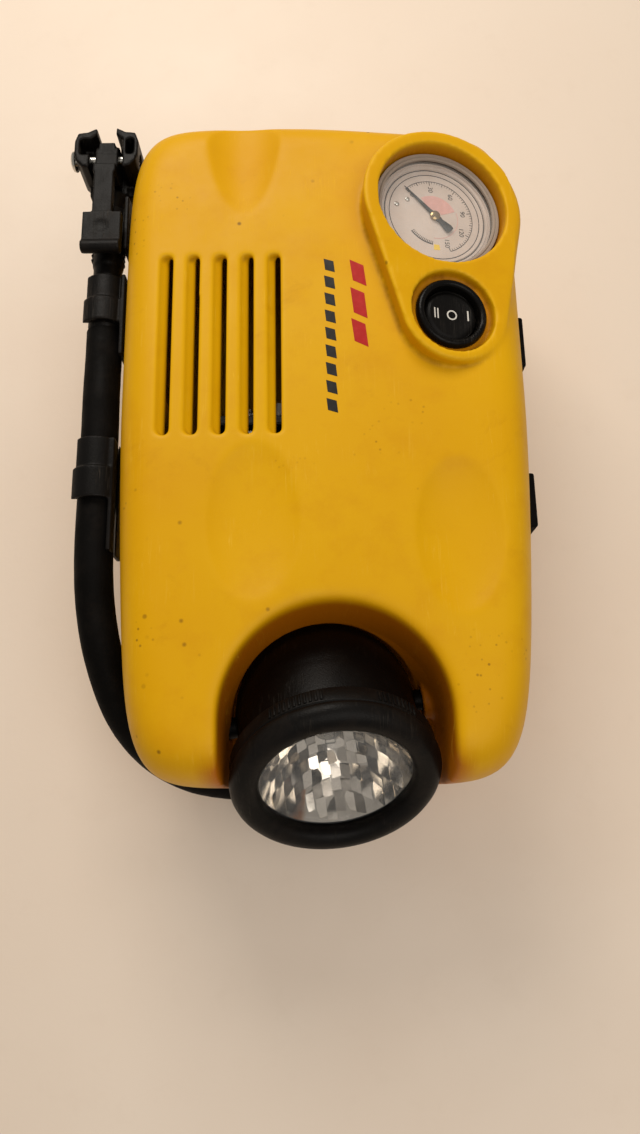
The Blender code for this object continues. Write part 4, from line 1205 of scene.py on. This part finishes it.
def make_lever():
    half = Vector((3.9, 0, 0))
    lever = rod(CHUCK_PIN - half, CHUCK_PIN + half, 4.4)
    lever = join(lever, chuck_block(3.9, (98.4, 68.2), (108.2, 75.8)),
                 chuck_block(2.8, (104, 70.3), (111.2, 75.7)),
                 chuck_block(3.9, (97.6, 70.0), (100.8, 78.2)),
                 chuck_block(3.4, (79, 75.0), (99, 78.2)),
                 block((CHUCK_X - 6.4, 66.8, 75.0), (CHUCK_X + 6.8, 81.2, 78.4)),
                 rod((CHUCK_X - 6.6, 68.2, 77.2), (CHUCK_X + 6.6, 68.2, 77.2), 2.2))
    lever = cut(lever, rod(CHUCK_PIN - 2 * half, CHUCK_PIN + 2 * half, 1.9),
                ellipsoid((CHUCK_X, 75.6, 80.6), (5.6, 5.2, 2.6)))
    lever = mark_edges(moulded(lever, 0.3, 4))
    piece("thumb_lever", lever, "lever", "black_plastic", BLACK, "chuck_lever", smooth=60)


# ---- feet, pads, screws

def make_feet():
    for number, (x, y) in enumerate(FOOT_PLACES, 1):
        profile = [(0, 3.7), (7.7, 3.7), (8, 3.4), (8, 1.4), (7.7, 0.6), (7.1, 0.1), (6.4, 0), (4.6, 0),
                   (4.3, 0.3), (0, 0.3)]
        foot = turned(profile, 64, Matrix.Translation((x, y, 0)))
        piece(f"rubber_foot_{number}", foot, "root", "black_rubber", RUBBER, f"foot_{number}")
    for number, (x, y) in enumerate(PAD_PLACES, 1):
        pad = block((x, y - 9.4, 42), (x + 3.6, y + 9.4, 62), 0.9)
        ribs = [block((x + 3.1, y - 10, 44.4 + 2.9 * k), (x + 5, y + 10, 45.4 + 2.9 * k)) for k in range(6)]
        pad = rounded(cut(pad, *ribs), 0.12, 2, 50)
        piece(f"side_bumper_{number}", pad, "root", "black_rubber", RUBBER, f"side_pad_{number}")


def make_screws():
    for number, (x, y) in enumerate(SCREW_PLACES, 1):
        profile = [(0, 58), (0.6, 57.6), (1.5, 56), (1.5, 29.7), (3.1, 29.7), (3.1, 28.3), (2.7, 27.4),
                   (1.9, 26.95), (0, 26.9)]
        screw = turned(profile, 40)
        slots = [moved(block((-2.3, -0.35, 26), (2.3, 0.35, 28.2)), Matrix.Rotation(turn, 4, "Z"))
                 for turn in (0.3 * number, 0.3 * number + pi / 2)]
        screw = moved(cut(screw, *slots), Matrix.Translation((x, y, 0)))
        piece(f"screw_{number}", screw, "root", "bright_metal", BRIGHT, f"case_screw_{number}")


# ---- printed marks

def make_marks():
    """Generic stripes where the real object carries print."""
    red = [[(9.2, high), (10.1, low), (14.4, low - 2.2), (13.6, high - 2.2)]
           for low, high in ((46.5, 54.0), (35.0, 44.0), (25.0, 33.0))]
    black = [[(0.9, y), (1.3, y - 4.0), (4.4, y - 5.0), (4.0, y - 1.0)]
             for y in (54.5 - 6.1 * k for k in range(9))]
    bottom = TOP + INK_LIFT
    for name, stripes, ink in (("stripes_red", red, INK_RED), ("stripes_black", black, INK)):
        layer = merged([outline(stripe, bottom, bottom + INK_THICK) for stripe in stripes])
        piece(name, layer, "root", "yellow_shell", ink, smooth=0)


# ---- inner works, kept from the CAD

INNER_FINISH = {
    "motor_can": STEEL, "motor_cap": BLACK, "motor_shaft": BRIGHT, "drive_gear": ACETAL, "gear_axle": BRIGHT,
    "pump_frame": ALLOY, "cylinder": ALLOY, "cylinder_head": ALLOY, "piston": ACETAL, "gauge_tube": RUBBER,
    "outlet_tube": RUBBER,
}


def finish_inner_works():
    for name, material in INNER_FINISH.items():
        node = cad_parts[name]
        node.material_slots[0].link = "OBJECT"
        node.material_slots[0].material = material


# ---- stage

def make_camera():
    lens = bpy.data.cameras.new("camera")
    lens.sensor_width = SENSOR
    lens.lens = SENSOR * FOCAL_LENGTH / PICTURE_LONG_SIDE
    lens.clip_start = 0.01
    camera = added("camera", lens)
    turn = Matrix.Rotation(CAMERA_TILT, 4, "X") @ Matrix.Rotation(CAMERA_ROLL, 4, "Z")
    camera.matrix_world = Matrix.Translation(TO_ROW @ CAMERA_PLACE) @ turn
    bpy.context.scene.camera = camera


def area_light(name, place, aim, size, power, colour):
    light = bpy.data.lights.new(name, "AREA")
    light.shape = "RECTANGLE"
    light.size, light.size_y = size
    light.energy = power
    light.color = colour
    thing = added(name, light)
    thing.location = place
    thing.rotation_euler = (Vector(aim) - Vector(place)).to_track_quat("-Z", "Y").to_euler()


def make_stage():
    def sheet(bm):
        bmesh.ops.create_grid(bm, x_segments=40, y_segments=40, size=FLOOR_HALF)

    floor = added("floor", mesh_of(sheet))
    floor.data.materials.append(pale_floor())
    area_light("key", *KEY_LIGHT)
    area_light("fill", *FILL_LIGHT)
    world = bpy.data.worlds.new("studio")
    bpy.context.scene.world = world
    world.use_nodes = True
    background = world.node_tree.nodes["Background"]
    background.inputs["Color"].default_value = ROOM_COLOUR
    background.inputs["Strength"].default_value = ROOM_STRENGTH
    bpy.context.scene.view_settings.view_transform = "Standard"


make_camera()
make_stage()
casing(True)
casing(False)
make_lamp_housing()
make_bezel()
make_lamp_glass()
make_reflector()
make_bulb()
make_pivots()
make_gauge()
make_switch()
make_hose()
make_clips()
make_chuck()
make_feet()
make_screws()
make_marks()
finish_inner_works()
